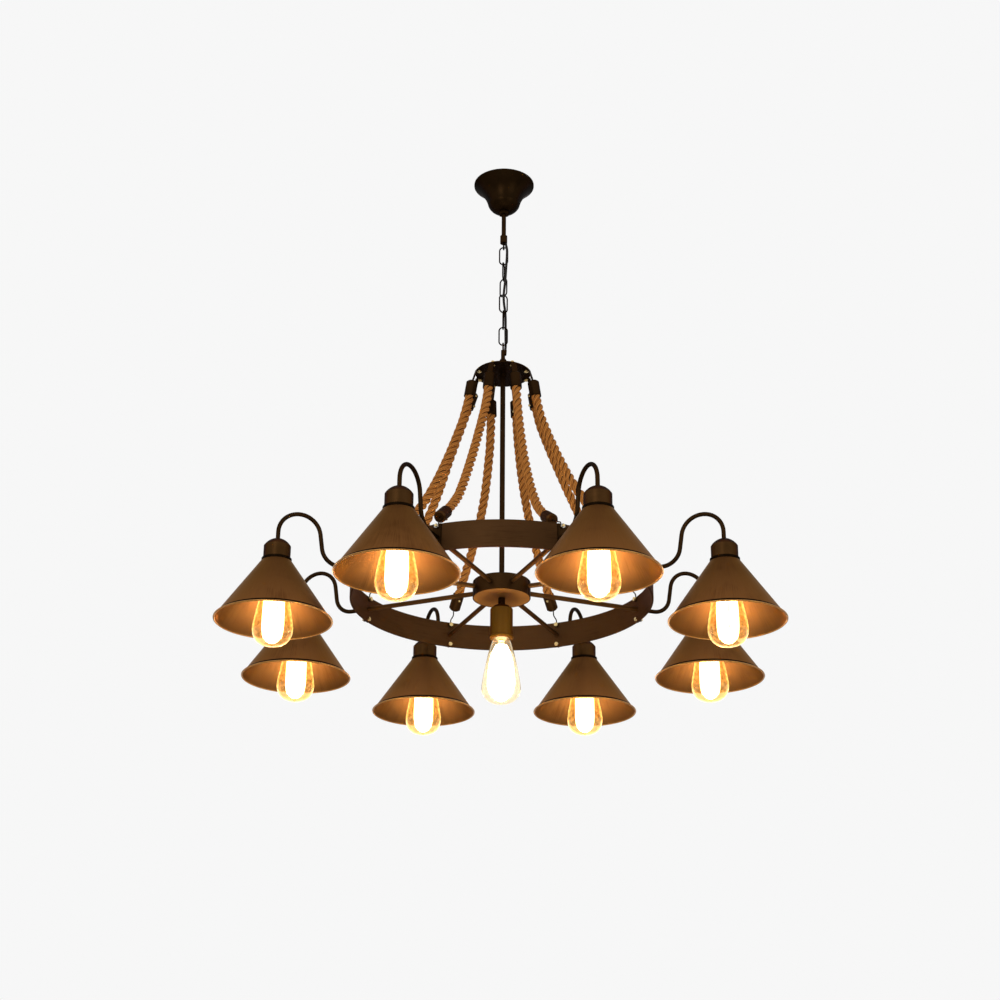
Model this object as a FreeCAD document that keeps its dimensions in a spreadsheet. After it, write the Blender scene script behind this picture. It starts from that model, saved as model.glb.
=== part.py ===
import FreeCAD, Part
import math
import os
import re

import Sketcher

# A hanging light: ceiling canopy, hook, chain and rod, a round top plate with eight ropes,
# a flat hoop on eight spokes, and eight curved arms with cone shades. Millimetres, +Z up,
# the origin on the ceiling plane over the middle of the ceiling bracket.

V = FreeCAD.Vector
UP = V(0, 0, 1)
doc = FreeCAD.newDocument("Chandelier")

sizes = {
    # ceiling bracket, its nuts and the stem
    "screw_spacing": 72, "slot_length": 14, "slot_width": 5,
    "bracket_length": 96, "bracket_width": 20, "bracket_gauge": 2.5,
    "bracket_drop": 10, "bracket_centre_flat": 32, "bracket_leg_run": 10,
    "stem_diameter": 8, "stem_bore": 5, "stem_start": 3, "stem_length": 105,
    "stem_nut_across": 13, "stem_nut_height": 4, "stem_play": 0.1,
    "terminal_length": 14, "terminal_width": 16, "terminal_height": 13, "terminal_offset": 8.5,
    "collar_diameter": 12.8, "collar_height": 16, "collar_chamfer": 1.4,
    # canopy
    "canopy_radius": 54.6, "canopy_height": 58, "canopy_wall": 1, "canopy_rim": 2.5,
    "canopy_waist_radius": 28.7, "canopy_waist_depth": 43, "canopy_foot_radius": 11,
    "canopy_play": 0.25, "canopy_nut_across": 16, "canopy_nut_height": 6,
    # eyes and chain
    "eye_wire": 3, "eye_radius": 5.3,
    "link_length": 38, "link_width": 17, "link_wire": 2.5, "link_play": 0.2, "link_count": 6,
    # rod, cone and top plate
    "ferrule_gap": 1.6, "ferrule_diameter": 7.2, "ferrule_length": 17,
    "inlet_diameter": 5.4, "inlet_rise": 0.8, "inlet_length": 10.4,
    "rod_diameter": 8.8, "rod_length": 418, "rod_play": 0.1, "rod_overrun": 7,
    "cone_start": 1.6, "cone_top_radius": 5.6, "cone_radius": 22, "cone_swell": -1.6,
    "plate_drop": 28, "plate_radius": 48, "plate_gauge": 2,
    "plate_nut_diameter": 12, "plate_nut_height": 7.6,
    "plate_screw_circle": 44, "plate_screw_shank": 4, "plate_screw_head": 7.4,
    "plate_screw_head_height": 3.2, "plate_screw_tail": 2.8,
    "tab_width": 10, "tab_gauge": 1.5, "tab_inner_radius": 39, "tab_bend_radius": 50,
    # ropes and their caps
    "rope_diameter": 16, "rope_fit": 0.1, "cap_wall": 2, "cap_length": 30, "cap_floor": 3,
    "cap_chamfer": 2.5,
    "rope_top_radius": 57, "rope_top_drop": 25.6, "tab_seat": 0.35,
    "rope_end_inset": 21, "rope_end_rise": 25,
    "cap_screw_diameter": 4, "cap_screw_height": 2.2, "cap_screw_inset": 6,
    "hanger_wire": 2, "hanger_run": 5, "hanger_wave": 2.4,
    # hoop, spokes and hub
    "lamp_count": 8, "first_azimuth": 22.5,
    "hoop_radius": 251, "hoop_gauge": 3, "hoop_height": 45, "hoop_drop": 13.7,
    "screw_shank": 4, "screw_play": 0.1, "screw_head": 7, "screw_head_height": 3.4,
    "screw_length": 12.5, "screw_edge": 4.5, "nut_across": 7, "nut_height": 3.2,
    "arm_plate_width": 14, "arm_plate_edge": 0.5, "arm_plate_gauge": 2,
    "spoke_diameter": 8, "spoke_bore": 6, "spoke_play": 0.1, "spoke_inset": 4,
    "hub_radius": 48.1, "hub_height": 28.6, "hub_wall": 1.5, "hub_edge": 1.2,
    "cover_gauge": 2, "cover_play": 0.1,
    "block_length": 30, "block_width": 20, "block_height": 7,
    # centre lamp
    "nipple_diameter": 11.5, "nipple_bore": 7, "nipple_height": 12,
    "centre_holder_diameter": 37.5, "centre_holder_height": 58.8, "centre_holder_dome": 8,
    "centre_holder_crown": 7, "centre_bead": 0.9, "centre_bead_height": 5,
    # arms
    "arm_diameter": 7, "arm_bore": 5, "bend_reach": 30, "bend_radius": 30,
    "arm_lean": 81.35, "arm_straight": 24.87, "arch_radius": 35, "arm_drop": 14.5,
    # lamps
    "cup_crown": 8.5, "cup_dome": 11.5, "cup_radius": 21.6, "cup_wall": 1.7, "cup_height": 33,
    "flange_radius": 24, "flange_height": 4,
    "holder_diameter": 38, "holder_start": 12, "holder_height": 55, "holder_edge": 2,
    "shade_play": 0.1, "shade_wall": 1, "shade_neck_radius": 24, "shade_mouth_radius": 91,
    "shade_height": 98, "lip_radius": 93.5, "lip_height": 1.7,
    # bulbs
    "socket_play": 0.2, "socket_depth": 30.3, "bulb_gap": 0.5,
    "base_diameter": 26, "base_length": 27, "bulb_length": 142, "bulb_radius": 32,
    "bulb_neck_radius": 12.7, "glass_wall": 0.8, "glass_gap": 0.1,
    "stem_foot_radius": 5, "glass_stem_radius": 3, "glass_stem_length": 40,
    "filament_radius": 0.6, "filament_length": 52,
    # power cord
    "cord_diameter": 4.4,
}

sheet = doc.addObject("Spreadsheet::Sheet", "Sizes")
for row, (name, number) in enumerate(sizes.items(), 1):
    sheet.set(f"A{row}", name)
    sheet.set(f"B{row}", str(number))
    sheet.setAlias(f"B{row}", name)
doc.recompute()

WORD = re.compile(r"\b(" + "|".join(sizes) + r")\b")


def bound(text):
    """The expression with each size read from the sheet."""
    return WORD.sub(r"Sizes.\1", text)


def value(text):
    """The number that an expression in the named sizes gives."""
    result = sheet.evalExpression(text)
    return float(getattr(result, "Value", result))


# Heights below the ceiling, each from the pieces above it

bracket_under = "(bracket_drop + bracket_gauge)"
collar_top = "(stem_start + stem_length)"
collar_bottom = f"({collar_top} + collar_height)"
hook_centre = f"({collar_bottom} + eye_wire / 2 + eye_radius)"
hook_low = f"({hook_centre} + eye_radius)"
link_top = f"({hook_low} - eye_wire / 2 - link_wire - link_play)"
link_pitch = "(link_length - 2 * link_wire - link_play)"
chain_bottom = f"({link_top} + link_length + (link_count - 1) * {link_pitch})"
chain_low = f"({chain_bottom} - link_wire / 2)"
eye_top = f"({chain_low} - link_wire / 2 - eye_wire / 2 - link_play)"
rod_eye_centre = f"({eye_top} + eye_radius)"
ferrule_top = f"({rod_eye_centre} + eye_radius + eye_wire / 2 + ferrule_gap)"
rod_top = f"({ferrule_top} + ferrule_length)"
plate_top = f"({rod_top} + plate_drop)"
plate_under = f"({plate_top} + plate_gauge)"
hub_top = f"({rod_top} + rod_length)"
hub_bottom = f"({hub_top} + hub_height)"
hoop_middle = f"({hub_top} + hoop_drop)"
hoop_inner = "(hoop_radius - hoop_gauge)"
plate_face = "(hoop_radius + arm_plate_gauge)"
screw_rise = "(hoop_height / 2 - screw_edge)"
arm_plate_height = "(hoop_height - 2 * arm_plate_edge)"
lean_sine = "sin(arm_lean * 1 deg)"
lean_cosine = "cos(arm_lean * 1 deg)"
bend_centre_r = "(hoop_radius + bend_reach)"
bend_centre_z = f"({hoop_middle} - bend_radius)"
arch_centre_r = (f"({bend_centre_r} + (bend_radius + arch_radius) * {lean_sine}"
                 f" + arm_straight * {lean_cosine})")
arch_centre_z = (f"({bend_centre_z} + (bend_radius + arch_radius) * {lean_cosine}"
                 f" - arm_straight * {lean_sine})")
lamp_circle = f"({arch_centre_r} + arch_radius)"
cup_top = f"({arch_centre_z} + arm_drop)"
cup_bottom = f"({cup_top} + cup_height + flange_height)"
holder_top = f"({cup_top} + holder_start)"
holder_bottom = f"({holder_top} + holder_height)"
centre_top = f"({hub_bottom} + nipple_height)"
centre_bottom = f"({centre_top} + centre_holder_height)"
rope_start_z = f"({plate_under} + rope_top_drop)"
rope_end_r = f"({hoop_inner} - rope_end_inset)"
rope_end_z = f"({hoop_middle} - {screw_rise} - rope_end_rise)"


def plane_of(body, role):
    return [f for f in body.Origin.OriginFeatures if f.Role == role][0]


def new_body(name):
    body = doc.addObject("PartDesign::Body", name)
    body.Label = name
    body.AllowCompound = True
    return body


def sketch_on(body, role, outlines, offset=None, axis=None):
    """A sketch of closed outlines. An outline is a circle ("circle", x, y, radius) or a list of
    corners (x, y), where ("via", x, y) bends the side that it stands on into an arc."""
    sk = body.newObject("Sketcher::SketchObject", body.Name + "_sketch")
    sk.AttachmentSupport = [(plane_of(body, role), "")]
    sk.MapMode = "FlatFace"
    if offset:
        sk.AttachmentOffset = FreeCAD.Placement(V(0, 0, value(offset)), FreeCAD.Rotation())
        sk.setExpression("AttachmentOffset.Base.z", bound(offset))

    def pin(geometry, end, x, y):
        for kind, text in (("DistanceX", x), ("DistanceY", y)):
            c = sk.addConstraint(Sketcher.Constraint(kind, -1, 1, geometry, end, value(text)))
            sk.setExpression(f"Constraints[{c}]", bound(text))

    for outline in outlines:
        if outline[0] == "circle":
            _, x, y, radius = outline
            circle = Part.Circle(V(value(x), value(y), 0), UP, value(radius))
            g = sk.addGeometry(circle, False)
            pin(g, 3, x, y)
            c = sk.addConstraint(Sketcher.Constraint("Radius", g, value(radius)))
            sk.setExpression(f"Constraints[{c}]", bound(radius))
            continue
        corners = [p for p in outline if p[0] != "via"]
        vias = {}
        count = 0
        for p in outline:
            if p[0] == "via":
                vias[count - 1] = p[1:]
            else:
                count += 1
        sides = []
        for k, corner in enumerate(corners):
            following = corners[(k + 1) % len(corners)]
            a = V(value(corner[0]), value(corner[1]), 0)
            b = V(value(following[0]), value(following[1]), 0)
            if k not in vias:
                g = sk.addGeometry(Part.LineSegment(a, b), False)
                sides.append((g, 1, 2))
                continue
            m = V(value(vias[k][0]), value(vias[k][1]), 0)
            turns_left = (m - a).cross(b - m).z > 0
            arc = Part.Arc(a, m, b) if turns_left else Part.Arc(b, m, a)
            g = sk.addGeometry(arc, False)
            sides.append((g, 1, 2) if turns_left else (g, 2, 1))
            dot = sk.addGeometry(Part.Point(m), True)
            pin(dot, 1, *vias[k])
            sk.addConstraint(Sketcher.Constraint("PointOnObject", dot, 1, g))
        for k, (g, first, last) in enumerate(sides):
            ahead, ahead_first, _ = sides[(k + 1) % len(sides)]
            sk.addConstraint(Sketcher.Constraint("Coincident", g, last, ahead, ahead_first))
            pin(g, first, *corners[k])
    if axis:
        g = sk.addGeometry(Part.LineSegment(V(value(axis), 0, 0), V(value(axis), 1, 0)), True)
        pin(g, 1, axis, "0")
        sk.addConstraint(Sketcher.Constraint("Vertical", g))
    return sk


def revolved(body, outlines, axis=None):
    sk = sketch_on(body, "XZ_Plane", outlines, axis=axis)
    feature = body.newObject("PartDesign::Revolution", body.Name + "_turned")
    feature.Profile = (sk, "")
    feature.ReferenceAxis = (sk, ["Axis0" if axis else "V_Axis"])
    feature.Angle = 360
    body.Tip = feature
    return feature


def padded(body, role, outlines, start, length, midplane=False):
    sk = sketch_on(body, role, outlines, offset=start)
    feature = body.newObject("PartDesign::Pad", body.Name + "_pad")
    feature.Profile = (sk, "")
    feature.setExpression("Length", bound(length))
    feature.Midplane = midplane
    body.Tip = feature
    return feature


def pocketed(body, role, outlines, start, length, midplane=False):
    """Cuts along the sketch plane's own normal, from the named start."""
    doc.recompute()
    before = body.Shape.Volume
    sk = sketch_on(body, role, outlines, offset=start)
    feature = body.newObject("PartDesign::Pocket", body.Name + "_cut")
    feature.Profile = (sk, "")
    feature.setExpression("Length", bound(length))
    feature.Midplane = midplane
    feature.Reversed = not midplane
    body.Tip = feature
    doc.recompute()
    if body.Shape.Volume >= before:
        raise RuntimeError(body.Label + ": a cut removed nothing")
    return feature


def around(body, features):
    """Repeats the features once for each lamp, about the upright axis."""
    pattern = body.newObject("PartDesign::PolarPattern", body.Name + "_round")
    pattern.Originals = features
    pattern.Axis = (plane_of(body, "Z_Axis"), [""])
    pattern.Angle = 360
    pattern.setExpression("Occurrences", bound("lamp_count"))
    body.Tip = pattern
    return pattern


def turn_to_first(body):
    body.Placement = FreeCAD.Placement(V(), FreeCAD.Rotation(UP, value("first_azimuth")))
    body.setExpression("Placement.Rotation.Angle", bound("first_azimuth * 1 deg"))


def hexagon(x, y, across):
    corners = []
    for k in range(6):
        angle = f"({k} * 60 + 30) * 1 deg"
        corners.append((f"{x} + {across} / sqrt(3) * cos({angle})",
                        f"{y} + {across} / sqrt(3) * sin({angle})"))
    return corners


def tube_path(points, report=None):
    """Straight runs joined by tangent arcs, each as large as its two runs allow."""
    edges = []
    here = points[0]
    length = 0
    for k in range(1, len(points) - 1):
        into = (points[k] - points[k - 1])
        out = (points[k + 1] - points[k])
        half = into.getAngle(out) / 2
        cut = 0.45 * min(into.Length, out.Length)
        radius = cut / math.tan(half)
        if report is not None:
            report.append(radius)
        into_unit = V(into).normalize()
        out_unit = V(out).normalize()
        a = points[k] - into_unit * cut
        b = points[k] + out_unit * cut
        inward = (out_unit - into_unit).normalize()
        middle = points[k] + inward * (radius / math.cos(half) - radius)
        edges.append(Part.LineSegment(here, a).toShape())
        edges.append(Part.Arc(a, middle, b).toShape())
        length += (a - here).Length + 2 * half * radius
        here = b
    edges.append(Part.LineSegment(here, points[-1]).toShape())
    length += (points[-1] - here).Length
    return Part.Wire(edges), length


def tube(points, diameter, label=None):
    """A round tube along the route; prints its radii and how its volume compares."""
    radii = []
    path, length = tube_path(points, radii)
    start = V(points[1] - points[0]).normalize()
    ring = Part.Wire(Part.Circle(points[0], start, diameter / 2).toShape())
    solid = path.makePipeShell([ring], True, False)
    if label:
        whole = math.pi * diameter ** 2 / 4 * length
        print(label, "radii", [round(r, 1) for r in radii], "length", round(length, 1),
              "volume ratio", round(solid.Volume / whole, 5))
    return solid


def feature_of(name, shape, azimuth=0):
    feature = doc.addObject("Part::Feature", name)
    feature.Label = name
    feature.Shape = shape
    feature.Placement = FreeCAD.Placement(V(), FreeCAD.Rotation(UP, azimuth))
    return feature


parts = []


def keep(*objects):
    parts.extend(objects)


lamps = int(round(value("lamp_count")))
azimuths = [value("first_azimuth") + k * 360 / lamps for k in range(lamps)]


def on_azimuth(shape, degrees):
    return shape.rotated(V(), UP, degrees)


# Ceiling bracket: a hat-section strap whose two ends lie on the ceiling

bracket = new_body("ceiling_bracket")
foot = "(bracket_centre_flat / 2 + bracket_leg_run)"
padded(bracket, "XZ_Plane", [[
    ("-1 * bracket_length / 2", "0"), (f"-1 * {foot}", "0"),
    ("-1 * bracket_centre_flat / 2", "-1 * bracket_drop"),
    ("bracket_centre_flat / 2", "-1 * bracket_drop"),
    (foot, "0"), ("bracket_length / 2", "0"), ("bracket_length / 2", "-1 * bracket_gauge"),
    (f"{foot} - bracket_gauge / 2", "-1 * bracket_gauge"),
    ("bracket_centre_flat / 2 - bracket_gauge / 2", f"-1 * {bracket_under}"),
    ("-1 * bracket_centre_flat / 2 + bracket_gauge / 2", f"-1 * {bracket_under}"),
    (f"-1 * {foot} + bracket_gauge / 2", "-1 * bracket_gauge"),
    ("-1 * bracket_length / 2", "-1 * bracket_gauge")]],
    "0", "bracket_width", midplane=True)
slots = []
for side in ("1", "-1"):
    run = "(slot_length - slot_width) / 2"
    inner = f"{side} * (screw_spacing / 2 - {run})"
    outer = f"{side} * (screw_spacing / 2 + {run})"
    slots.append([
        (inner, f"{side} * -1 * slot_width / 2"), (outer, f"{side} * -1 * slot_width / 2"),
        ("via", f"{outer} + {side} * slot_width / 2", "0"), (outer, f"{side} * slot_width / 2"),
        (inner, f"{side} * slot_width / 2"), ("via", f"{inner} - {side} * slot_width / 2", "0")])
slots.append(("circle", "0", "0", "stem_diameter / 2 + stem_play"))
pocketed(bracket, "XY_Plane", slots, f"-1 * {bracket_under} - bracket_gauge",
         f"{bracket_under} + 2 * bracket_gauge")

nuts = new_body("bracket_nuts")
for start in ("-1 * bracket_drop", f"-1 * {bracket_under} - stem_nut_height"):
    padded(nuts, "XY_Plane",
           [hexagon("0", "0", "stem_nut_across"), ("circle", "0", "0", "stem_diameter / 2")],
           start, "stem_nut_height")

terminal = new_body("terminal_block")
padded(terminal, "XY_Plane", [[
    ("terminal_offset", "-1 * terminal_width / 2"),
    ("terminal_offset + terminal_length", "-1 * terminal_width / 2"),
    ("terminal_offset + terminal_length", "terminal_width / 2"),
    ("terminal_offset", "terminal_width / 2")]],
    f"-1 * {bracket_under} - terminal_height", "terminal_height")

stem = new_body("stem")
padded(stem, "XY_Plane", [("circle", "0", "0", "stem_diameter / 2"),
                          ("circle", "0", "0", "stem_bore / 2")],
       f"-1 * {collar_top}", "stem_length")

collar = new_body("stem_collar")
revolved(collar, [[
    ("0", f"-1 * {collar_top}"), ("collar_diameter / 2 - collar_chamfer", f"-1 * {collar_top}"),
    ("collar_diameter / 2", f"-1 * {collar_top} - collar_chamfer"),
    ("collar_diameter / 2", f"-1 * {collar_bottom}"), ("0", f"-1 * {collar_bottom}")]])


def eye(centre):
    """A wire ring in the YZ plane."""
    return Part.makeTorus(value("eye_radius"), value("eye_wire / 2"), V(0, 0, -value(centre)),
                          V(1, 0, 0))


hook_ring = eye(hook_centre)
hook_foot = Part.makeCylinder(value("eye_wire / 2"), value("eye_wire / 2"),
                              V(0, 0, -value(collar_bottom) - value("eye_wire / 2")))
hook = feature_of("stem_hook", hook_ring.fuse(hook_foot))

keep(bracket, nuts, terminal, stem, collar, hook)

# Canopy: a flared bell with a rolled rim, and the nut that holds it up

canopy = new_body("canopy")
neck_hole = "(stem_diameter / 2 + canopy_play)"
canopy_inner_waist = "(canopy_waist_radius - canopy_wall)"
revolved(canopy, [[
    (neck_hole, "-1 * canopy_height"), ("canopy_foot_radius", "-1 * canopy_height"),
    ("via", "canopy_foot_radius * 0.25 + canopy_waist_radius * 0.75",
     "-1 * canopy_height * 0.55 - canopy_waist_depth * 0.45 + canopy_wall"),
    ("canopy_waist_radius", "-1 * canopy_waist_depth"),
    ("via", "canopy_waist_radius + 0.35 * (canopy_radius - canopy_waist_radius)",
     "-1 * canopy_rim - 0.45 * (canopy_waist_depth - canopy_rim)"),
    ("canopy_radius", "-1 * canopy_rim"), ("canopy_radius", "0"),
    ("canopy_radius - canopy_wall", "0"),
    ("canopy_radius - canopy_wall", "-1 * canopy_rim"),
    ("via", "canopy_waist_radius + 0.35 * (canopy_radius - canopy_waist_radius) - canopy_wall",
     "-1 * canopy_rim - 0.45 * (canopy_waist_depth - canopy_rim) + canopy_wall / 2"),
    (canopy_inner_waist, "-1 * canopy_waist_depth"),
    ("via", "canopy_foot_radius * 0.25 + canopy_waist_radius * 0.75 - canopy_wall",
     "-1 * canopy_height * 0.55 - canopy_waist_depth * 0.45 + 2 * canopy_wall"),
    ("canopy_foot_radius", "-1 * canopy_height + canopy_wall"),
    (neck_hole, "-1 * canopy_height + canopy_wall")]])

canopy_nut = new_body("canopy_nut")
padded(canopy_nut, "XY_Plane", [hexagon("0", "0", "canopy_nut_across"),
                                ("circle", "0", "0", neck_hole)],
       "-1 * canopy_height - canopy_nut_height", "canopy_nut_height")
keep(canopy, canopy_nut)

# Chain: racetrack links of round wire, each turned from the one above

link_yaws = [0, 80, 145, 200, 275, 360]


def chain_link():
    half = value("link_width / 2 - link_wire / 2")
    straight = value("link_length / 2 - link_width / 2")
    top, bottom = V(0, 0, straight), V(0, 0, -straight)
    right, left = V(half, 0, 0), V(-half, 0, 0)
    path = Part.Wire([
        Part.LineSegment(bottom + right, top + right).toShape(),
        Part.Arc(top + right, top + V(0, 0, half), top + left).toShape(),
        Part.LineSegment(top + left, bottom + left).toShape(),
        Part.Arc(bottom + left, bottom - V(0, 0, half), bottom + right).toShape()])
    ring = Part.Wire(Part.Circle(bottom + right, UP, value("link_wire / 2")).toShape())
    return path.makePipeShell([ring], True, False)


links = []
for k in range(int(round(value("link_count")))):
    link = chain_link()
    link.rotate(V(), UP, link_yaws[k % len(link_yaws)])
    link.translate(V(0, 0, -value(f"{link_top} + link_length / 2 + {k} * {link_pitch}")))
    links.append(link)
chain = feature_of("chain_links", Part.makeCompound(links))
keep(chain)

# Power cord: from the collar beside the links, through the fourth link, to the rod's inlet

# the route's points, as they lie from the middle of the collar's underside; the last one ends on
# the rod's inlet
upper_route = [
    V(3.95, -1.2, 0), V(3.95, -1.2, -4.2), V(5.9, -4.9, -12), V(6.3, -5.4, -23),
    V(5.6, -5.0, -39), V(4.6, -5.8, -56), V(3.9, -7.5, -72), V(2.8, -8.2, -88)]
lower_route = [
    V(1.4, -7.7, -101), V(0.5, -5.4, -111), V(0.7, -0.4, -122.5), V(2.6, 4.6, -133.5),
    V(3.9, 5.7, -145), V(4.2, 5.2, -162), V(4.0, 4.8, -180), V(4.3, 4.7, -196),
    V(4.5, 4.2, -208.4), V(3.95, 1.5, -218.6)]
collar_foot = V(0, 0, -value(collar_bottom))
upper_route = [collar_foot + p for p in upper_route]
lower_route = [collar_foot + p for p in lower_route]
lower_route[-1].z = -value(f"{ferrule_top} - inlet_rise")
join = (upper_route[-1] + lower_route[0]) / 2
cord_upper = feature_of("power_cord_upper", tube(
    upper_route + [join], value("cord_diameter"), "power_cord_upper"))
cord_lower = feature_of("power_cord_lower", tube(
    [join] + lower_route, value("cord_diameter"), "power_cord_lower"))
keep(cord_upper, cord_lower)

# Rod: its eye with a ferrule and the cord's inlet, the rod, the cone, the top plate

rod_ring = eye(rod_eye_centre)
rod_foot = Part.makeCylinder(
    value("eye_wire / 2"), value("ferrule_gap + eye_wire / 2"),
    V(0, 0, -value(ferrule_top)))
ferrule = Part.makeCylinder(value("ferrule_diameter / 2"), value("ferrule_length"),
                            V(0, 0, -value(rod_top)))
inlet_way = V(lower_route[-1] - lower_route[-2]).normalize()
inlet = Part.makeCylinder(value("inlet_diameter / 2"), value("inlet_length"),
                          lower_route[-1], inlet_way)
rod_eye = feature_of("rod_eye", rod_ring.fuse([rod_foot, ferrule, inlet]).removeSplitter())

rod = new_body("main_rod")
padded(rod, "XY_Plane", [("circle", "0", "0", "rod_diameter / 2")],
       f"-1 * {hub_top} - rod_overrun", "rod_length + rod_overrun")

rod_hole = "(rod_diameter / 2 + rod_play)"
cone = new_body("rod_cone")
cone_top = f"({rod_top} + cone_start)"
revolved(cone, [[
    (rod_hole, f"-1 * {cone_top}"), ("cone_top_radius", f"-1 * {cone_top}"),
    ("via", "(cone_top_radius + cone_radius) / 2 + cone_swell",
     f"-1 * ({cone_top} + {plate_top}) / 2"),
    ("cone_radius", f"-1 * {plate_top}"), (rod_hole, f"-1 * {plate_top}")]])

plate = new_body("top_plate")
padded(plate, "XY_Plane", [("circle", "0", "0", "plate_radius"), ("circle", "0", "0", rod_hole)],
       f"-1 * {plate_under}", "plate_gauge")
plate_hole = pocketed(plate, "XY_Plane",
                      [("circle", "plate_screw_circle", "0", "plate_screw_shank / 2")],
                      f"-1 * {plate_under} - plate_gauge", "3 * plate_gauge")
around(plate, [plate_hole])
turn_to_first(plate)

plate_nut = new_body("plate_nut")
padded(plate_nut, "XY_Plane", [("circle", "0", "0", "plate_nut_diameter / 2"),
                               ("circle", "0", "0", rod_hole)],
       f"-1 * {plate_under} - plate_nut_height", "plate_nut_height")

tab_under = f"({plate_under} + tab_gauge)"
screws = new_body("plate_screws")
screw_axis = "plate_screw_circle"
screw_turned = revolved(screws, [[
    (screw_axis, f"-1 * {tab_under} - plate_screw_head_height"),
    (f"{screw_axis} + plate_screw_head / 2 - plate_screw_head_height / 3",
     f"-1 * {tab_under} - plate_screw_head_height"),
    (f"{screw_axis} + plate_screw_head / 2",
     f"-1 * {tab_under} - plate_screw_head_height * 2 / 3"),
    (f"{screw_axis} + plate_screw_head / 2", f"-1 * {tab_under}"),
    (f"{screw_axis} + plate_screw_shank / 2", f"-1 * {tab_under}"),
    (f"{screw_axis} + plate_screw_shank / 2", f"-1 * {plate_top}"),
    (f"{screw_axis} + plate_screw_head / 2", f"-1 * {plate_top}"),
    (f"{screw_axis} + plate_screw_head / 2 - plate_screw_tail / 3",
     f"-1 * {plate_top} + plate_screw_tail"),
    (screw_axis, f"-1 * {plate_top} + plate_screw_tail")]], axis=screw_axis)
around(screws, [screw_turned])
turn_to_first(screws)

tabs = new_body("rope_tabs")
tab_end = f"-1 * {rope_start_z} + tab_seat"
tab_strip = padded(tabs, "XZ_Plane", [[
    ("tab_inner_radius", f"-1 * {plate_under}"), ("tab_bend_radius", f"-1 * {plate_under}"),
    ("rope_top_radius + tab_gauge / 2", tab_end), ("rope_top_radius - tab_gauge / 2", tab_end),
    ("tab_bend_radius - tab_gauge", f"-1 * {tab_under}"),
    ("tab_inner_radius", f"-1 * {tab_under}")]], "0", "tab_width", midplane=True)
tab_hole = pocketed(tabs, "XY_Plane",
                    [("circle", "plate_screw_circle", "0", "plate_screw_shank / 2")],
                    f"-1 * {tab_under} - tab_gauge", "2 * tab_gauge")
around(tabs, [tab_strip, tab_hole])
turn_to_first(tabs)

keep(rod_eye, rod, cone, plate, plate_nut, screws, tabs)

# Ropes: the lies of the same rope, from straight to slack, each a table of shares of the way out
# and down from its upper cap to its lower one, with a round cap and a set screw at both ends

straight_lie = [(0.100, 0.139), (0.245, 0.315), (0.410, 0.539), (0.580, 0.721), (0.785, 0.870),
                (1, 1)]
tight_lie = [(0.044, 0.139), (0.185, 0.315), (0.386, 0.539), (0.569, 0.721), (0.782, 0.870),
             (1, 1)]
even_lie = [(0.045, 0.148), (0.170, 0.333), (0.352, 0.548), (0.550, 0.731), (0.770, 0.875),
            (1, 1)]
loose_lie = [(0.035, 0.155), (0.109, 0.352), (0.238, 0.567), (0.463, 0.736), (0.728, 0.873),
             (1, 1)]
slack_lie = [(-0.020, 0.155), (0.045, 0.352), (0.180, 0.567), (0.440, 0.736), (0.728, 0.873),
             (1, 1)]
# the two ropes at the front end a little further out and a little further in
pulled_lie = [(0.044, 0.139), (0.185, 0.315), (0.386, 0.539), (0.569, 0.721), (0.770, 0.885),
              (1.09, 1.015)]
gathered_lie = [(0.045, 0.155), (0.130, 0.352), (0.262, 0.567), (0.440, 0.760), (0.630, 0.905),
                (0.91, 0.995)]
rope_lies = [tight_lie, loose_lie, slack_lie, straight_lie,
             even_lie, pulled_lie, gathered_lie, even_lie]


def rope_cap(floor, way):
    """A round cap closed and chamfered at its floor and open along way."""
    back = floor - way * value("cap_floor")
    tip = Part.makeCone(value("rope_diameter / 2 + cap_wall - cap_chamfer"),
                        value("rope_diameter / 2 + cap_wall"), value("cap_chamfer"), back, way)
    outer = Part.makeCylinder(value("rope_diameter / 2 + cap_wall"),
                              value("cap_length - cap_chamfer"),
                              back + way * value("cap_chamfer"), way)
    outer = outer.fuse(tip).removeSplitter()
    bore = Part.makeCylinder(value("rope_diameter / 2 + rope_fit"), value("cap_length"),
                             floor, way)
    return outer.cut(bore)


def set_screw(floor, way):
    """A small round head on the outside of the cap, near its mouth, facing outward."""
    out = V(0, -1, 0).cross(way).normalize()
    if out.z > 0:
        out = out * -1
    seat = floor + way * value("cap_length - cap_floor - cap_screw_inset")
    seat = seat + out * value("rope_diameter / 2 + rope_fit + cap_wall / 2")
    return Part.makeCylinder(value("cap_screw_diameter / 2"),
                             value("cap_wall / 2 + cap_screw_height"), seat, out)


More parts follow.
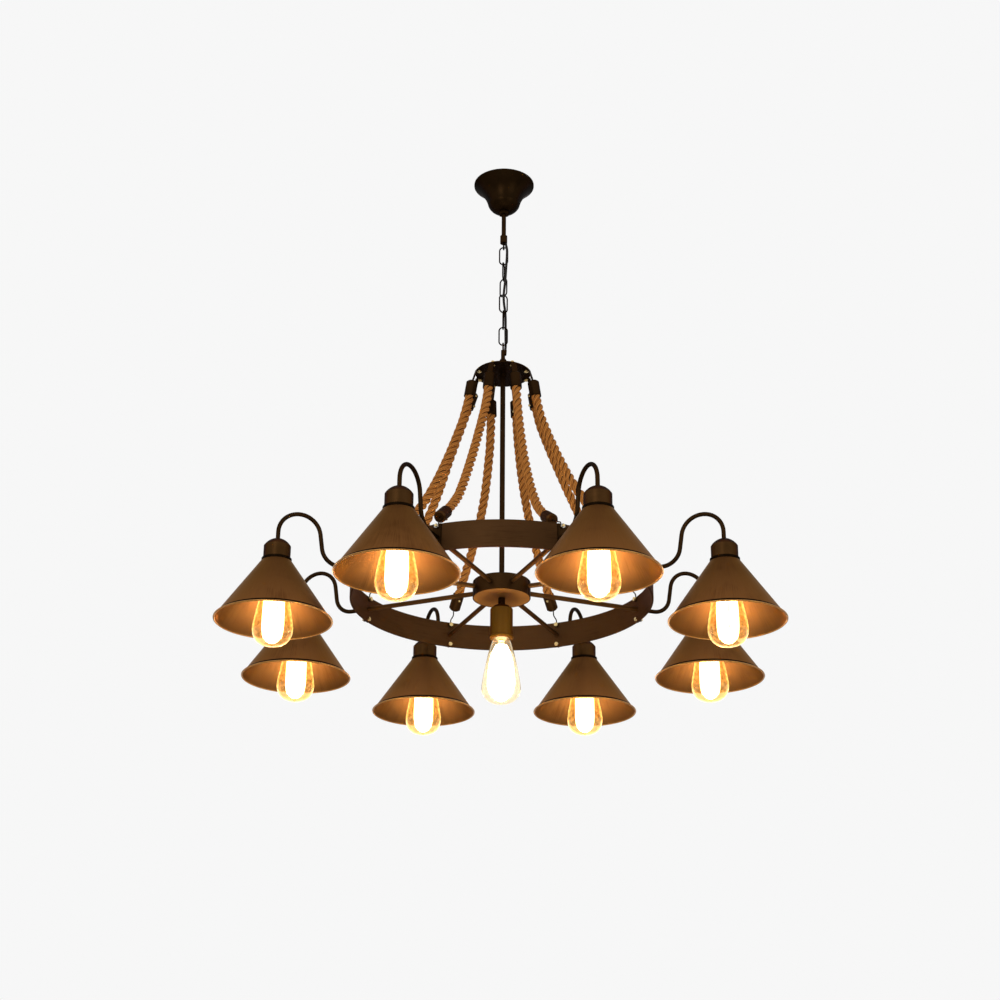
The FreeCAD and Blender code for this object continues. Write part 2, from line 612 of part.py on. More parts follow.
rope_start = V(value("rope_top_radius + cap_floor * sin(10 deg)"), 0,
               -value(f"{rope_start_z} + cap_floor"))
rope_end = V(value(rope_end_r), 0, -value(rope_end_z))
hanger_eye = V(value(f"{hoop_inner} - hanger_wire / 2 - screw_play"), 0,
               -value(f"{hoop_middle} - {screw_rise}"))
upper_caps, lower_caps, cap_screws, hangers = [], [], [], []
for k, azimuth in enumerate(azimuths):
    points = [rope_start]
    for out, down in rope_lies[k % len(rope_lies)]:
        points.append(V(rope_start.x + out * (rope_end.x - rope_start.x), 0,
                        rope_start.z + down * (rope_end.z - rope_start.z)))
    rope = feature_of(f"rope_{k + 1}", tube(points, value("rope_diameter"), f"rope_{k + 1}"),
                      azimuth)
    keep(rope)
    first = V(points[1] - points[0]).normalize()
    last = V(points[-2] - points[-1]).normalize()
    upper = rope_cap(points[0], first)
    lower = rope_cap(points[-1], last)
    upper_screw = set_screw(points[0], first)
    lower_screw = set_screw(points[-1], last)
    upper_caps.append(on_azimuth(upper.cut(upper_screw), azimuth))
    lower_caps.append(on_azimuth(lower.cut(lower_screw), azimuth))
    cap_screws.append(on_azimuth(upper_screw, azimuth))
    cap_screws.append(on_azimuth(lower_screw, azimuth))

    back = points[-1] - last * value("cap_floor")
    eye_top_point = hanger_eye + V(0, 0, value("screw_shank / 2 + hanger_wire"))
    wave = value("hanger_wave") * (1 if k % 2 else -1)
    run = value("hanger_run")
    a = back - last * run
    b = eye_top_point + V(0, 0, run)
    wire_points = [back, a, a * 0.6 + b * 0.4 + V(0, wave, 0), b, eye_top_point]
    wire = tube(wire_points, value("hanger_wire"))
    loop = Part.makeTorus(value("screw_shank / 2 + screw_play + hanger_wire / 2"),
                          value("hanger_wire / 2"), hanger_eye, V(1, 0, 0))
    hangers.append(on_azimuth(loop.fuse(wire), azimuth))

keep(feature_of("upper_rope_caps", Part.makeCompound(upper_caps)),
     feature_of("lower_rope_caps", Part.makeCompound(lower_caps)),
     feature_of("cap_screws", Part.makeCompound(cap_screws)),
     feature_of("rope_hangers", Part.makeCompound(hangers)))

# Hoop, spokes and hub

hole = "(screw_shank / 2 + screw_play)"
screw_heights = (f"-1 * {hoop_middle} + {screw_rise}", f"-1 * {hoop_middle} - {screw_rise}")
hoop = new_body("wheel_ring")
hoop_top = f"-1 * ({hoop_middle} - hoop_height / 2)"
hoop_low = f"-1 * ({hoop_middle} + hoop_height / 2)"
revolved(hoop, [[(hoop_inner, hoop_low), ("hoop_radius", hoop_low),
                 ("hoop_radius", hoop_top), (hoop_inner, hoop_top)]])
hoop_holes = pocketed(hoop, "YZ_Plane", [("circle", "0", h, hole) for h in screw_heights],
                      f"{hoop_inner} - hoop_gauge", "3 * hoop_gauge")
around(hoop, [hoop_holes])
turn_to_first(hoop)

spokes = new_body("spokes")
hub_inner = "(hub_radius - hub_wall)"
spoke = padded(spokes, "YZ_Plane", [("circle", "0", f"-1 * {hoop_middle}", "spoke_diameter / 2"),
                                    ("circle", "0", f"-1 * {hoop_middle}", "spoke_bore / 2")],
               f"{hub_inner} - spoke_inset",
               f"{hoop_inner} - spoke_play - {hub_inner} + spoke_inset")
around(spokes, [spoke])
turn_to_first(spokes)

hub = new_body("hub_drum")
revolved(hub, [[
    (rod_hole, f"-1 * {hub_top}"), ("hub_radius - hub_edge", f"-1 * {hub_top}"),
    ("hub_radius", f"-1 * {hub_top} - hub_edge"), ("hub_radius", f"-1 * {hub_bottom}"),
    (hub_inner, f"-1 * {hub_bottom}"), (hub_inner, f"-1 * {hub_top} - hub_wall"),
    (rod_hole, f"-1 * {hub_top} - hub_wall")]])
hub_holes = pocketed(hub, "YZ_Plane",
                     [("circle", "0", f"-1 * {hoop_middle}", "spoke_diameter / 2")],
                     f"{hub_inner} - hub_wall", "3 * hub_wall")
around(hub, [hub_holes])
turn_to_first(hub)

cover = new_body("hub_cover")
padded(cover, "XY_Plane", [("circle", "0", "0", f"{hub_inner} - cover_play")],
       f"-1 * {hub_bottom}", "cover_gauge")

block = new_body("hub_terminal_block")
padded(block, "XY_Plane", [[
    ("-1 * block_length / 2", "-1 * block_width / 2"),
    ("block_length / 2", "-1 * block_width / 2"),
    ("block_length / 2", "block_width / 2"), ("-1 * block_length / 2", "block_width / 2")]],
    f"-1 * {hub_bottom} + cover_gauge", "block_height")

arm_plates = new_body("arm_plates")
arm_plate = padded(arm_plates, "YZ_Plane", [
    [("-1 * arm_plate_width / 2", f"-1 * {hoop_middle} - {arm_plate_height} / 2"),
     ("arm_plate_width / 2", f"-1 * {hoop_middle} - {arm_plate_height} / 2"),
     ("arm_plate_width / 2", f"-1 * {hoop_middle} + {arm_plate_height} / 2"),
     ("-1 * arm_plate_width / 2", f"-1 * {hoop_middle} + {arm_plate_height} / 2")],
    ("circle", "0", screw_heights[0], hole), ("circle", "0", screw_heights[1], hole)],
    "hoop_radius", "arm_plate_gauge")
around(arm_plates, [arm_plate])
turn_to_first(arm_plates)

hoop_screws = new_body("ring_screws")
top_seat = f"({hoop_inner} - hanger_wire - 2 * screw_play)"
shanks = padded(hoop_screws, "YZ_Plane",
                [("circle", "0", h, "screw_shank / 2") for h in screw_heights],
                top_seat, "screw_length")
top_heads = padded(hoop_screws, "YZ_Plane", [("circle", "0", screw_heights[0], "screw_head / 2")],
                   f"{top_seat} - screw_head_height", "screw_head_height")
low_heads = padded(hoop_screws, "YZ_Plane", [("circle", "0", screw_heights[1], "screw_head / 2")],
                   f"{hoop_inner} - screw_head_height - screw_play", "screw_head_height")
around(hoop_screws, [shanks, top_heads, low_heads])
turn_to_first(hoop_screws)

hoop_nuts = new_body("ring_nuts")
nut_outlines = []
for h in screw_heights:
    nut_outlines.append(hexagon("0", h, "nut_across"))
    nut_outlines.append(("circle", "0", h, "screw_shank / 2"))
hoop_nut = padded(hoop_nuts, "YZ_Plane", nut_outlines, plate_face, "nut_height")
around(hoop_nuts, [hoop_nut])
turn_to_first(hoop_nuts)

keep(hoop, spokes, hub, cover, block, arm_plates, hoop_screws, hoop_nuts)

# Arms: each tube leaves the hoop level, bends up, arches over and drops to its lamp

arms = new_body("arms")
half_lean = "(arm_lean / 2 * 1 deg)"
bend_end = (f"{bend_centre_r} + bend_radius * {lean_sine}",
            f"-1 * {bend_centre_z} - bend_radius * {lean_cosine}")
arch_start = (f"{arch_centre_r} - arch_radius * {lean_sine}",
              f"-1 * {arch_centre_z} + arch_radius * {lean_cosine}")
spine = arms.newObject("Sketcher::SketchObject", "arm_route")
spine.AttachmentSupport = [(plane_of(arms, "XZ_Plane"), "")]
spine.MapMode = "FlatFace"
stops = [(plate_face, f"-1 * {hoop_middle}"), (bend_centre_r, f"-1 * {hoop_middle}"),
         ("via", f"{bend_centre_r} + bend_radius * sin({half_lean})",
          f"-1 * {bend_centre_z} - bend_radius * cos({half_lean})"),
         bend_end, arch_start,
         ("via", f"{arch_centre_r}", f"-1 * {arch_centre_z} + arch_radius"),
         (lamp_circle, f"-1 * {arch_centre_z}"), (lamp_circle, f"-1 * {cup_top}")]


def pin_point(sk, geometry, end, point):
    for kind, text in (("DistanceX", point[0]), ("DistanceY", point[1])):
        c = sk.addConstraint(Sketcher.Constraint(kind, -1, 1, geometry, end, value(text)))
        sk.setExpression(f"Constraints[{c}]", bound(text))


ends = [s for s in stops if s[0] != "via"]
bends = {1: stops[2][1:], 3: stops[5][1:]}
open_end = None
for k in range(len(ends) - 1):
    a = V(value(ends[k][0]), value(ends[k][1]), 0)
    b = V(value(ends[k + 1][0]), value(ends[k + 1][1]), 0)
    if k in bends:
        m = V(value(bends[k][0]), value(bends[k][1]), 0)
        left = (m - a).cross(b - m).z > 0
        g = spine.addGeometry(Part.Arc(a, m, b) if left else Part.Arc(b, m, a), False)
        first_end, last_end = (1, 2) if left else (2, 1)
        dot = spine.addGeometry(Part.Point(m), True)
        pin_point(spine, dot, 1, bends[k])
        spine.addConstraint(Sketcher.Constraint("PointOnObject", dot, 1, g))
    else:
        g = spine.addGeometry(Part.LineSegment(a, b), False)
        first_end, last_end = 1, 2
    if open_end:
        spine.addConstraint(Sketcher.Constraint("Coincident", *open_end, g, first_end))
    pin_point(spine, g, first_end, ends[k])
    open_end = (g, last_end)
pin_point(spine, *open_end, ends[-1])
ring_sketch = sketch_on(arms, "YZ_Plane",
                        [("circle", "0", f"-1 * {hoop_middle}", "arm_diameter / 2"),
                         ("circle", "0", f"-1 * {hoop_middle}", "arm_bore / 2")],
                        offset=plate_face)
doc.recompute()
arm = arms.newObject("PartDesign::AdditivePipe", "arm_tube")
arm.Profile = (ring_sketch, "")
arm.Spine = (spine, [])
arms.Tip = arm
doc.recompute()
around(arms, [arm])
turn_to_first(arms)
keep(arms)

# Lamp cups and holders, on the lamp circle

lamp = lamp_circle
cups = new_body("lamp_cups")
cup_inner = "(cup_radius - cup_wall)"
cup = revolved(cups, [[
    (lamp, f"-1 * {cup_top}"), (f"{lamp} + cup_crown", f"-1 * {cup_top}"),
    ("via", f"{lamp} + 0.44 * cup_crown + 0.56 * cup_radius", f"-1 * {cup_top} - 0.4 * cup_dome"),
    (f"{lamp} + cup_radius", f"-1 * {cup_top} - cup_dome"),
    (f"{lamp} + cup_radius", f"-1 * {cup_top} - cup_height"),
    (f"{lamp} + flange_radius", f"-1 * {cup_top} - cup_height"),
    (f"{lamp} + flange_radius", f"-1 * {cup_bottom}"),
    (f"{lamp} + {cup_inner}", f"-1 * {cup_bottom}"),
    (f"{lamp} + {cup_inner}", f"-1 * {cup_top} - cup_dome - cup_wall / 2"),
    ("via", f"{lamp} + 0.44 * cup_crown + 0.56 * {cup_inner} - cup_wall / 4",
     f"-1 * {cup_top} - 0.4 * cup_dome - 1.1 * cup_wall"),
    (f"{lamp} + cup_crown - cup_wall / 2", f"-1 * {cup_top} - cup_wall"),
    (lamp, f"-1 * {cup_top} - cup_wall")]], axis=lamp)
around(cups, [cup])
turn_to_first(cups)

base_top = f"({holder_bottom} - socket_depth + bulb_gap)"
holders = new_body("lamp_holders")
socket = "(base_diameter / 2 + socket_play)"
holder = revolved(holders, [[
    (lamp, f"-1 * {holder_top}"),
    (f"{lamp} + holder_diameter / 2 - holder_edge", f"-1 * {holder_top}"),
    (f"{lamp} + holder_diameter / 2", f"-1 * {holder_top} - holder_edge"),
    (f"{lamp} + holder_diameter / 2", f"-1 * {holder_bottom}"),
    (f"{lamp} + {socket}", f"-1 * {holder_bottom}"),
    (f"{lamp} + {socket}", f"-1 * {holder_bottom} + socket_depth"),
    (lamp, f"-1 * {holder_bottom} + socket_depth")]], axis=lamp)
around(holders, [holder])
turn_to_first(holders)
keep(cups, holders)

# Centre lamp

nipple = new_body("centre_nipple")
padded(nipple, "XY_Plane", [("circle", "0", "0", "nipple_diameter / 2"),
                            ("circle", "0", "0", "nipple_bore / 2")],
       f"-1 * {centre_top}", "nipple_height")

centre_radius = "centre_holder_diameter / 2"
centre_holder = new_body("centre_holder")
revolved(centre_holder, [[
    ("0", f"-1 * {centre_top}"), ("centre_holder_crown", f"-1 * {centre_top}"),
    ("via", f"0.42 * centre_holder_crown + 0.58 * {centre_radius}",
     f"-1 * {centre_top} - 0.38 * centre_holder_dome"),
    (centre_radius, f"-1 * {centre_top} - centre_holder_dome"),
    (centre_radius, f"-1 * {centre_bottom} + centre_bead_height"),
    ("via", f"{centre_radius} + centre_bead", f"-1 * {centre_bottom} + centre_bead_height / 2"),
    (centre_radius, f"-1 * {centre_bottom}"), (socket, f"-1 * {centre_bottom}"),
    (socket, f"-1 * {centre_bottom} + socket_depth"),
    ("0", f"-1 * {centre_bottom} + socket_depth")]])
keep(nipple, centre_holder)

# Shades: one cone with a flared lip, eight times on the lamp circle

shade_form = new_body("shade_form")
slope = "((shade_mouth_radius - shade_neck_radius) / shade_height)"
across_wall = f"(shade_wall * sqrt(1 + {slope} * {slope}))"
shade_hole = "(holder_diameter / 2 + shade_play)"
lip_depth = "(shade_height + lip_height)"
revolved(shade_form, [[
    (shade_hole, "0"), ("shade_neck_radius", "0"),
    ("shade_mouth_radius", "-1 * shade_height"),
    ("lip_radius", "-1 * shade_height - lip_height / 3"),
    ("lip_radius", f"-1 * {lip_depth}"),
    (f"shade_mouth_radius - {across_wall}", f"-1 * {lip_depth}"),
    (f"shade_mouth_radius - {across_wall}", "-1 * shade_height"),
    (f"shade_neck_radius + {slope} * shade_wall - {across_wall}", "-1 * shade_wall"),
    (shade_hole, "-1 * shade_wall")]])


def placed(name, links, r, z, azimuth):
    copy = doc.addObject("Part::Compound", name)
    copy.Label = name
    copy.Links = links
    x = f"{r} * cos({azimuth})"
    y = f"{r} * sin({azimuth})"
    copy.Placement = FreeCAD.Placement(V(value(x), value(y), value(z)), FreeCAD.Rotation())
    copy.setExpression("Placement.Base.x", bound(f"({x}) * 1 mm"))
    copy.setExpression("Placement.Base.y", bound(f"({y}) * 1 mm"))
    copy.setExpression("Placement.Base.z", bound(f"({z}) * 1 mm"))
    return copy


turns = [f"((first_azimuth + {k} * 360 / lamp_count) * 1 deg)" for k in range(lamps)]
for k, turn in enumerate(turns):
    keep(placed(f"shade_{k + 1}", [shade_form], lamp_circle, f"-1 * {cup_bottom}", turn))

# Bulbs: a screw base, a teardrop glass and the glass stem with its filament inside

base_form = new_body("bulb_base_form")
revolved(base_form, [[
    ("0", "0"), ("base_diameter / 4", "0"), ("base_diameter / 2", "-0.2 * base_length"),
    ("base_diameter / 2", "-1 * base_length"), ("0", "-1 * base_length")]])

glass_form = new_body("bulb_glass_form")
glass_top = "(-1 * base_length - glass_gap)"
body_drop = "(bulb_length - base_length)"
widest = f"{glass_top} - 0.67 * {body_drop}"


def glass_side(inset):
    r = f"(bulb_radius - {inset})"
    n = f"(bulb_neck_radius - {inset})"
    return [
        (n, glass_top), (n, f"{glass_top} - 0.04 * {body_drop}"),
        (f"{n} + 0.86 * ({r} - {n})", f"{glass_top} - 0.5 * {body_drop}"),
        ("via", r, widest),
        (f"0.86 * {r}", f"{glass_top} - 0.84 * {body_drop}"),
        ("via", f"0.52 * {r}", f"-1 * bulb_length + 0.045 * {body_drop} + {inset}"),
        ("0", f"-1 * bulb_length + {inset}")]


inner_side = glass_side("glass_wall")
inner_side = [inner_side[6], inner_side[5], inner_side[4], inner_side[3],
              inner_side[2], inner_side[1], inner_side[0]]
revolved(glass_form, [glass_side("0 * glass_wall") + inner_side])

inner_form = new_body("bulb_stem_form")
revolved(inner_form, [[
    ("0", glass_top), ("stem_foot_radius", glass_top),
    ("glass_stem_radius", f"{glass_top} - glass_stem_length / 4"),
    ("glass_stem_radius", f"{glass_top} - glass_stem_length"),
    ("filament_radius", f"{glass_top} - glass_stem_length"),
    ("filament_radius", f"{glass_top} - glass_stem_length - filament_length"),
    ("0", f"{glass_top} - glass_stem_length - filament_length")]])

bulb_forms = [base_form, glass_form, inner_form]
for k, turn in enumerate(turns):
    keep(placed(f"bulb_{k + 1}", bulb_forms, lamp_circle, f"-1 * {base_top}", turn))
keep(placed("centre_bulb", bulb_forms, "0",
            f"-1 * ({centre_bottom} - socket_depth + bulb_gap)", turns[0]))

doc.recompute()

# Every object must have come out sound before anything is written

for thing in doc.Objects:
    if "Invalid" in thing.State or "Error" in thing.State:
        raise RuntimeError(thing.Label + " failed: " + ", ".join(thing.State))
for thing in parts:
    if thing.Shape.isNull() or not thing.Shape.isValid() or not thing.Shape.Solids:
        raise RuntimeError(thing.Label + " has no sound shape")

os.makedirs("parts", exist_ok=True)
for thing in parts:
    thing.Shape.exportStep("parts/" + thing.Label + ".step")
box = Part.makeCompound([thing.Shape for thing in parts]).BoundBox
print(len(parts), "parts", round(box.XLength, 1), round(box.YLength, 1), round(box.ZLength, 1),
      "from", round(box.ZMin, 1), "to", round(box.ZMax, 1))
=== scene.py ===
import math
import random

import bmesh
import bpy
from mathutils import Matrix, Vector
from mathutils.kdtree import KDTree


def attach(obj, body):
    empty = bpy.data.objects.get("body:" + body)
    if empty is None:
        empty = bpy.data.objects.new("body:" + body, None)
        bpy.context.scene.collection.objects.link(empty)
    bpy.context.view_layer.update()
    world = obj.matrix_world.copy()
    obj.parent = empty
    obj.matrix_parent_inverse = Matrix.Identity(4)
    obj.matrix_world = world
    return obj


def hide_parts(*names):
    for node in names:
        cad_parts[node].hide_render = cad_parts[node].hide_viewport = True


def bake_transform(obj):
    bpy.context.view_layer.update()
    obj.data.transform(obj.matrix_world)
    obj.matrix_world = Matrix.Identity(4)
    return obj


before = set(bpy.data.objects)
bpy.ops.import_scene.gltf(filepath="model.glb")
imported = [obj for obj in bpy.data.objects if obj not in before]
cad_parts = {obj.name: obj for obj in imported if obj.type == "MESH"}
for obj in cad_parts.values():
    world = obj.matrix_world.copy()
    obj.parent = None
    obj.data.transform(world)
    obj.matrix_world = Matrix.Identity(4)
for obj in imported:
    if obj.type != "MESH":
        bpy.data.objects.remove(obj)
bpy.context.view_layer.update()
scene = bpy.context.scene
scene.view_settings.view_transform = "Standard"
mm = 0.001

# Camera: below the lamps, looking up at the chandelier, as the photograph does

lens_turn, lens_pitch, lens_roll = -0.01609, 0.4061, 0.005946
eye = Vector((0.0441, -2.7399, -1.808))
level = Vector((math.sin(lens_turn), math.cos(lens_turn), 0))
right = Vector((math.cos(lens_turn), -math.sin(lens_turn), 0))
ahead = level * math.cos(lens_pitch) + Vector((0, 0, math.sin(lens_pitch)))
above = right.cross(ahead)
side = right * math.cos(lens_roll) + above * math.sin(lens_roll)
top = above * math.cos(lens_roll) - right * math.sin(lens_roll)
camera = bpy.data.objects.new("camera", bpy.data.cameras.new("camera"))
camera.data.sensor_width = 36
camera.data.lens = 63.29
camera.data.shift_x = -0.0022
turned_eye = Matrix((side, top, -ahead)).transposed().to_4x4()
camera.matrix_world = Matrix.Translation(eye) @ turned_eye
scene.collection.objects.link(camera)
scene.camera = camera

lamp_angles = [math.radians(22.5 + 45 * k) for k in range(8)]
lamp_circle = 384 * mm

# A shade's cone in millimetres: radius at the neck and at the mouth, and the height between them
neck_radius, mouth_radius, cone_height = 24, 91, 98


def on_lamp_axis(angle, height):
    """The point at this height on the upright axis of the lamp at this angle."""
    return Vector((lamp_circle * math.cos(angle), lamp_circle * math.sin(angle), height))


def piece_from(bm, name, smooth_below=40):
    """A finished mesh object in the scene, smooth except at edges sharper than the angle."""
    mesh = bpy.data.meshes.new(name)
    bm.to_mesh(mesh)
    bm.free()
    mesh.shade_smooth()
    mesh.set_sharp_from_angle(angle=math.radians(smooth_below))
    piece = bpy.data.objects.new(name, mesh)
    scene.collection.objects.link(piece)
    return piece


def curve_line(name, points):
    """A smooth spline with the route's points as its control points."""
    curve = bpy.data.curves.new(name, "CURVE")
    curve.dimensions = "3D"
    curve.resolution_u = 24
    spline = curve.splines.new("NURBS")
    spline.points.add(len(points) - 1)
    for knot, p in zip(spline.points, points):
        knot.co = (*p, 1)
    spline.order_u = 3
    spline.use_endpoint_u = True
    obj = bpy.data.objects.new(name, curve)
    scene.collection.objects.link(obj)
    return obj


def line_points(obj, spacing):
    """Evenly spaced points read along a curve that has no bevel."""
    bpy.context.view_layer.update()
    mesh = bpy.data.meshes.new_from_object(obj)
    raw = [v.co.copy() for v in mesh.vertices]
    bpy.data.meshes.remove(mesh)
    lengths = [0.0]
    for a, b in zip(raw, raw[1:]):
        lengths.append(lengths[-1] + (b - a).length)
    count = max(2, round(lengths[-1] / spacing))
    out = []
    k = 0
    for n in range(count + 1):
        want = lengths[-1] * n / count
        while k < len(raw) - 2 and lengths[k + 1] < want:
            k += 1
        span = lengths[k + 1] - lengths[k]
        share = (want - lengths[k]) / span if span > 1e-9 else 0
        out.append(raw[k].lerp(raw[k + 1], min(1, max(0, share))))
    return out, lengths[-1]


def along(points):
    """A steady frame at each point: the way on, and two ways across it."""
    frames = []
    across = None
    for k, p in enumerate(points):
        way = points[min(k + 1, len(points) - 1)] - points[max(k - 1, 0)]
        way.normalize()
        if across is None:
            across = way.orthogonal().normalized()
        across = (across - way * across.dot(way)).normalized()
        frames.append((p, way, across.copy(), way.cross(across)))
    return frames


def swept(name, paths, radius, roundness=2, kind="POLY"):
    """One mesh of closed round wires, each along its own path of (point, share of the radius).
    Its UV map runs along each wire in u and round it in v."""
    curve = bpy.data.curves.new(name, "CURVE")
    curve.dimensions = "3D"
    curve.bevel_depth = radius
    curve.bevel_resolution = roundness
    curve.use_fill_caps = True
    for path in paths:
        spline = curve.splines.new(kind)
        spline.points.add(len(path) - 1)
        for knot, (p, share) in zip(spline.points, path):
            knot.co = (*p, 1)
            knot.radius = share
        spline.order_u = 3
        spline.use_endpoint_u = True
    holder = bpy.data.objects.new(name, curve)
    scene.collection.objects.link(holder)
    bpy.context.view_layer.update()
    mesh = bpy.data.meshes.new_from_object(holder)
    bpy.data.objects.remove(holder)
    return mesh


# Cords first: the power cord's two stretches, then the eight ropes

cord_diameter = 4.4 * mm
# The power cord's route in millimetres, from the stem collar down to the rod
power_route = [
    (3.95, -1.2, -124), (3.95, -1.2, -128.2), (5.9, -4.9, -136), (6.3, -5.4, -147),
    (5.6, -5.0, -163), (4.6, -5.8, -180), (3.9, -7.5, -196), (2.8, -8.2, -212),
    (1.4, -7.7, -225), (0.5, -5.4, -235), (0.7, -0.4, -246.5), (2.6, 4.6, -257.5),
    (3.9, 5.7, -269), (4.2, 5.2, -286), (4.0, 4.8, -304), (4.3, 4.7, -320),
    (4.5, 4.2, -332.4), (3.95, 1.5, -342.6)]
power_route = [Vector(p) * mm for p in power_route]
cord_join = (power_route[7] + power_route[8]) / 2
# Each stretch: name, route, bodies above and below, and the heights between which it bends
stretches = [("upper", power_route[:8] + [cord_join], "ceiling_mount", "chain", -0.126, -0.152),
             ("lower", [cord_join] + power_route[8:], "chain", "fixture", -0.318, -0.340)]
power_cords = []
for stretch, points, above_body, below_body, bend_top, bend_foot in stretches:
    line = curve_line(f"power_cord_{stretch}_line", points)
    centre, cord_length = line_points(line, 1 * mm)
    bpy.data.objects.remove(line)
    mesh = swept(f"power_cord_{stretch}_sleeve", [[(p, 1) for p in centre]], cord_diameter / 2, 4)
    mesh.shade_smooth()
    cord = bpy.data.objects.new(f"power_cord_{stretch}_sleeve", mesh)
    scene.collection.objects.link(cord)
    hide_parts("power_cord_" + stretch)
    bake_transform(cord)
    power_cords.append(cord)

rope_diameter = 16 * mm
# A circle round three equal circles that touch is 2.155 times as wide as one of them
three_laid = 2.155
strand_radius = rope_diameter / 2 / three_laid
strand_pitch = 38 * mm
rope_step = 2.5 * mm
fibre_count, fibre_radius, fibre_root = 240, 0.13 * mm, 1.7 * mm
first_rope_seed = 40
rope_top = Vector((57.52, 0, -419.0)) * mm
rope_foot = Vector((227.0, 0, -749.1)) * mm
# How each rope lies: points of (share of the way out, share of the way down), top to foot
tight = [(0.044, 0.139), (0.185, 0.315), (0.386, 0.539), (0.569, 0.721), (0.782, 0.870), (1, 1)]
even = [(0.045, 0.148), (0.170, 0.333), (0.352, 0.548), (0.550, 0.731), (0.770, 0.875), (1, 1)]
slack = [(-0.020, 0.155), (0.045, 0.352), (0.180, 0.567), (0.440, 0.736), (0.728, 0.873),
         (1, 1)]
pulled = [(0.044, 0.139), (0.185, 0.315), (0.386, 0.539), (0.569, 0.721), (0.770, 0.885),
          (1.09, 1.015)]
gathered = [(0.045, 0.155), (0.130, 0.352), (0.262, 0.567), (0.440, 0.760), (0.630, 0.905),
            (0.91, 0.995)]
eased = [(0.090, 0.139), (0.225, 0.315), (0.370, 0.545), (0.525, 0.730), (0.745, 0.880), (1, 1)]
hanging = [(0.045, 0.148), (0.160, 0.335), (0.325, 0.560), (0.510, 0.755), (0.745, 0.890),
           (1, 1)]
parted = [(0.035, 0.155), (0.125, 0.352), (0.300, 0.567), (0.540, 0.736), (0.760, 0.873), (1, 1)]
rope_lies = [tight, parted, slack, eased, hanging, pulled, gathered, even]


def strand_paths(frames, dice):
    """Three strands laid round each other along the rope, each a little uneven."""
    offset = rope_diameter / 2 - strand_radius
    step = (frames[1][0] - frames[0][0]).length
    first = dice.uniform(0, math.tau)
    paths = []
    for strand in range(3):
        drift = 0.0
        path = []
        for k, (p, _, across, over) in enumerate(frames):
            drift = drift * 0.9 + dice.gauss(0, 0.015)
            turn = first + strand * math.tau / 3 + math.tau * k * step / strand_pitch
            spot = p + (across * math.cos(turn) + over * math.sin(turn)) * offset
            path.append((spot, 1.0 + max(-0.09, min(0.03, drift))))
        paths.append(path)
    return paths


def fibre_paths(frames, dice, count):
    """Stray fibres that stand a few millimetres off the lay."""
    paths = []
    for _ in range(count):
        p, way, across, over = frames[dice.randrange(12, len(frames) - 10)]
        turn = dice.uniform(0, math.tau)
        out = across * math.cos(turn) + over * math.sin(turn)
        lean = way * dice.uniform(-1, 1) + out * dice.uniform(0.2, 0.8)
        lean += way.cross(out) * dice.uniform(-1, 1)
        lean = lean.normalized() * dice.uniform(2.0, 5.0) * mm
        foot = p + out * (rope_diameter / 2 - fibre_root)
        bend = out * dice.uniform(-1.2, 0.3) * mm
        paths.append([(foot, 1), (foot + lean * 0.5, 0.9), (foot + lean + bend, 0.4)])
    return paths


def twisted_rope(name, line, seed):
    """The rope's strands and fibres in one mesh. Its depth attribute is 0 in the grooves and 1 on
    the crowns."""
    dice = random.Random(seed)
    centre, length = line_points(line, rope_step)
    frames = along(centre)
    bm = bmesh.new()
    bm.from_mesh(swept(name + "_strands", strand_paths(frames, dice), strand_radius, 4))
    loose = fibre_paths(frames, dice, fibre_count)
    bm.from_mesh(swept(name + "_fibres", loose, fibre_radius, 0))
    mesh = bpy.data.meshes.new(name)
    bm.to_mesh(mesh)
    bm.free()
    mesh.shade_smooth()
    tree = KDTree(len(centre))
    for k, p in enumerate(centre):
        tree.insert(p, k)
    tree.balance()
    depth = mesh.attributes.new("depth", "FLOAT", "POINT")
    for k, vert in enumerate(mesh.vertices):
        spot, nearest, gap = tree.find(vert.co)
        reach = (vert.co - spot).dot(frames[nearest][1])
        off_line = math.sqrt(max(0.0, gap * gap - reach * reach))
        depth.data[k].value = min(1.0, off_line / (rope_diameter / 2))
    piece = bpy.data.objects.new(name, mesh)
    scene.collection.objects.link(piece)
    return piece, centre, length


ropes = []
for k, angle in enumerate(lamp_angles):
    turn = Matrix.Rotation(angle, 3, "Z")
    route = [rope_top]
    for out, down in rope_lies[k]:
        route.append(Vector((rope_top.x + out * (rope_foot.x - rope_top.x), 0,
                             rope_top.z + down * (rope_foot.z - rope_top.z))))
    line = curve_line(f"rope_{k + 1}_line", [turn @ p for p in route])
    rope, centre, rope_length = twisted_rope(f"rope_{k + 1}_hemp", line, first_rope_seed + k)
    bpy.data.objects.remove(line)
    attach(rope, "fixture")
    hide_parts(f"rope_{k + 1}")
    ropes.append(rope)


# Materials


def linear(hex_colour):
    """A written colour, as linear light with full alpha."""
    parts = [int(hex_colour[k:k + 2], 16) / 255 for k in (1, 3, 5)]
    return tuple(c / 12.92 if c <= 0.04045 else ((c + 0.055) / 1.055) ** 2.4
                 for c in parts) + (1.0,)


def add(tree, kind, inputs=None, stops=(), **settings):
    """A node with its settings, its values, its colour stops and the links into it."""
    made = tree.nodes.new(kind)
    for name, setting in settings.items():
        setattr(made, name, setting)
    for name, given in (inputs or {}).items():
        socket = made.inputs[name]
        if isinstance(given, bpy.types.NodeSocket):
            tree.links.new(given, socket)
        else:
            socket.default_value = given
    for k, (position, colour) in enumerate(stops):
        if k > 1:
            made.color_ramp.elements.new(position)
        stop = made.color_ramp.elements[k]
        stop.position = position
        stop.color = linear(colour)
    return made


def start_material(name):
    """A new material and its empty node tree."""
    material = bpy.data.materials.new(name)
    material.use_nodes = True
    material.node_tree.nodes.clear()
    return material, material.node_tree


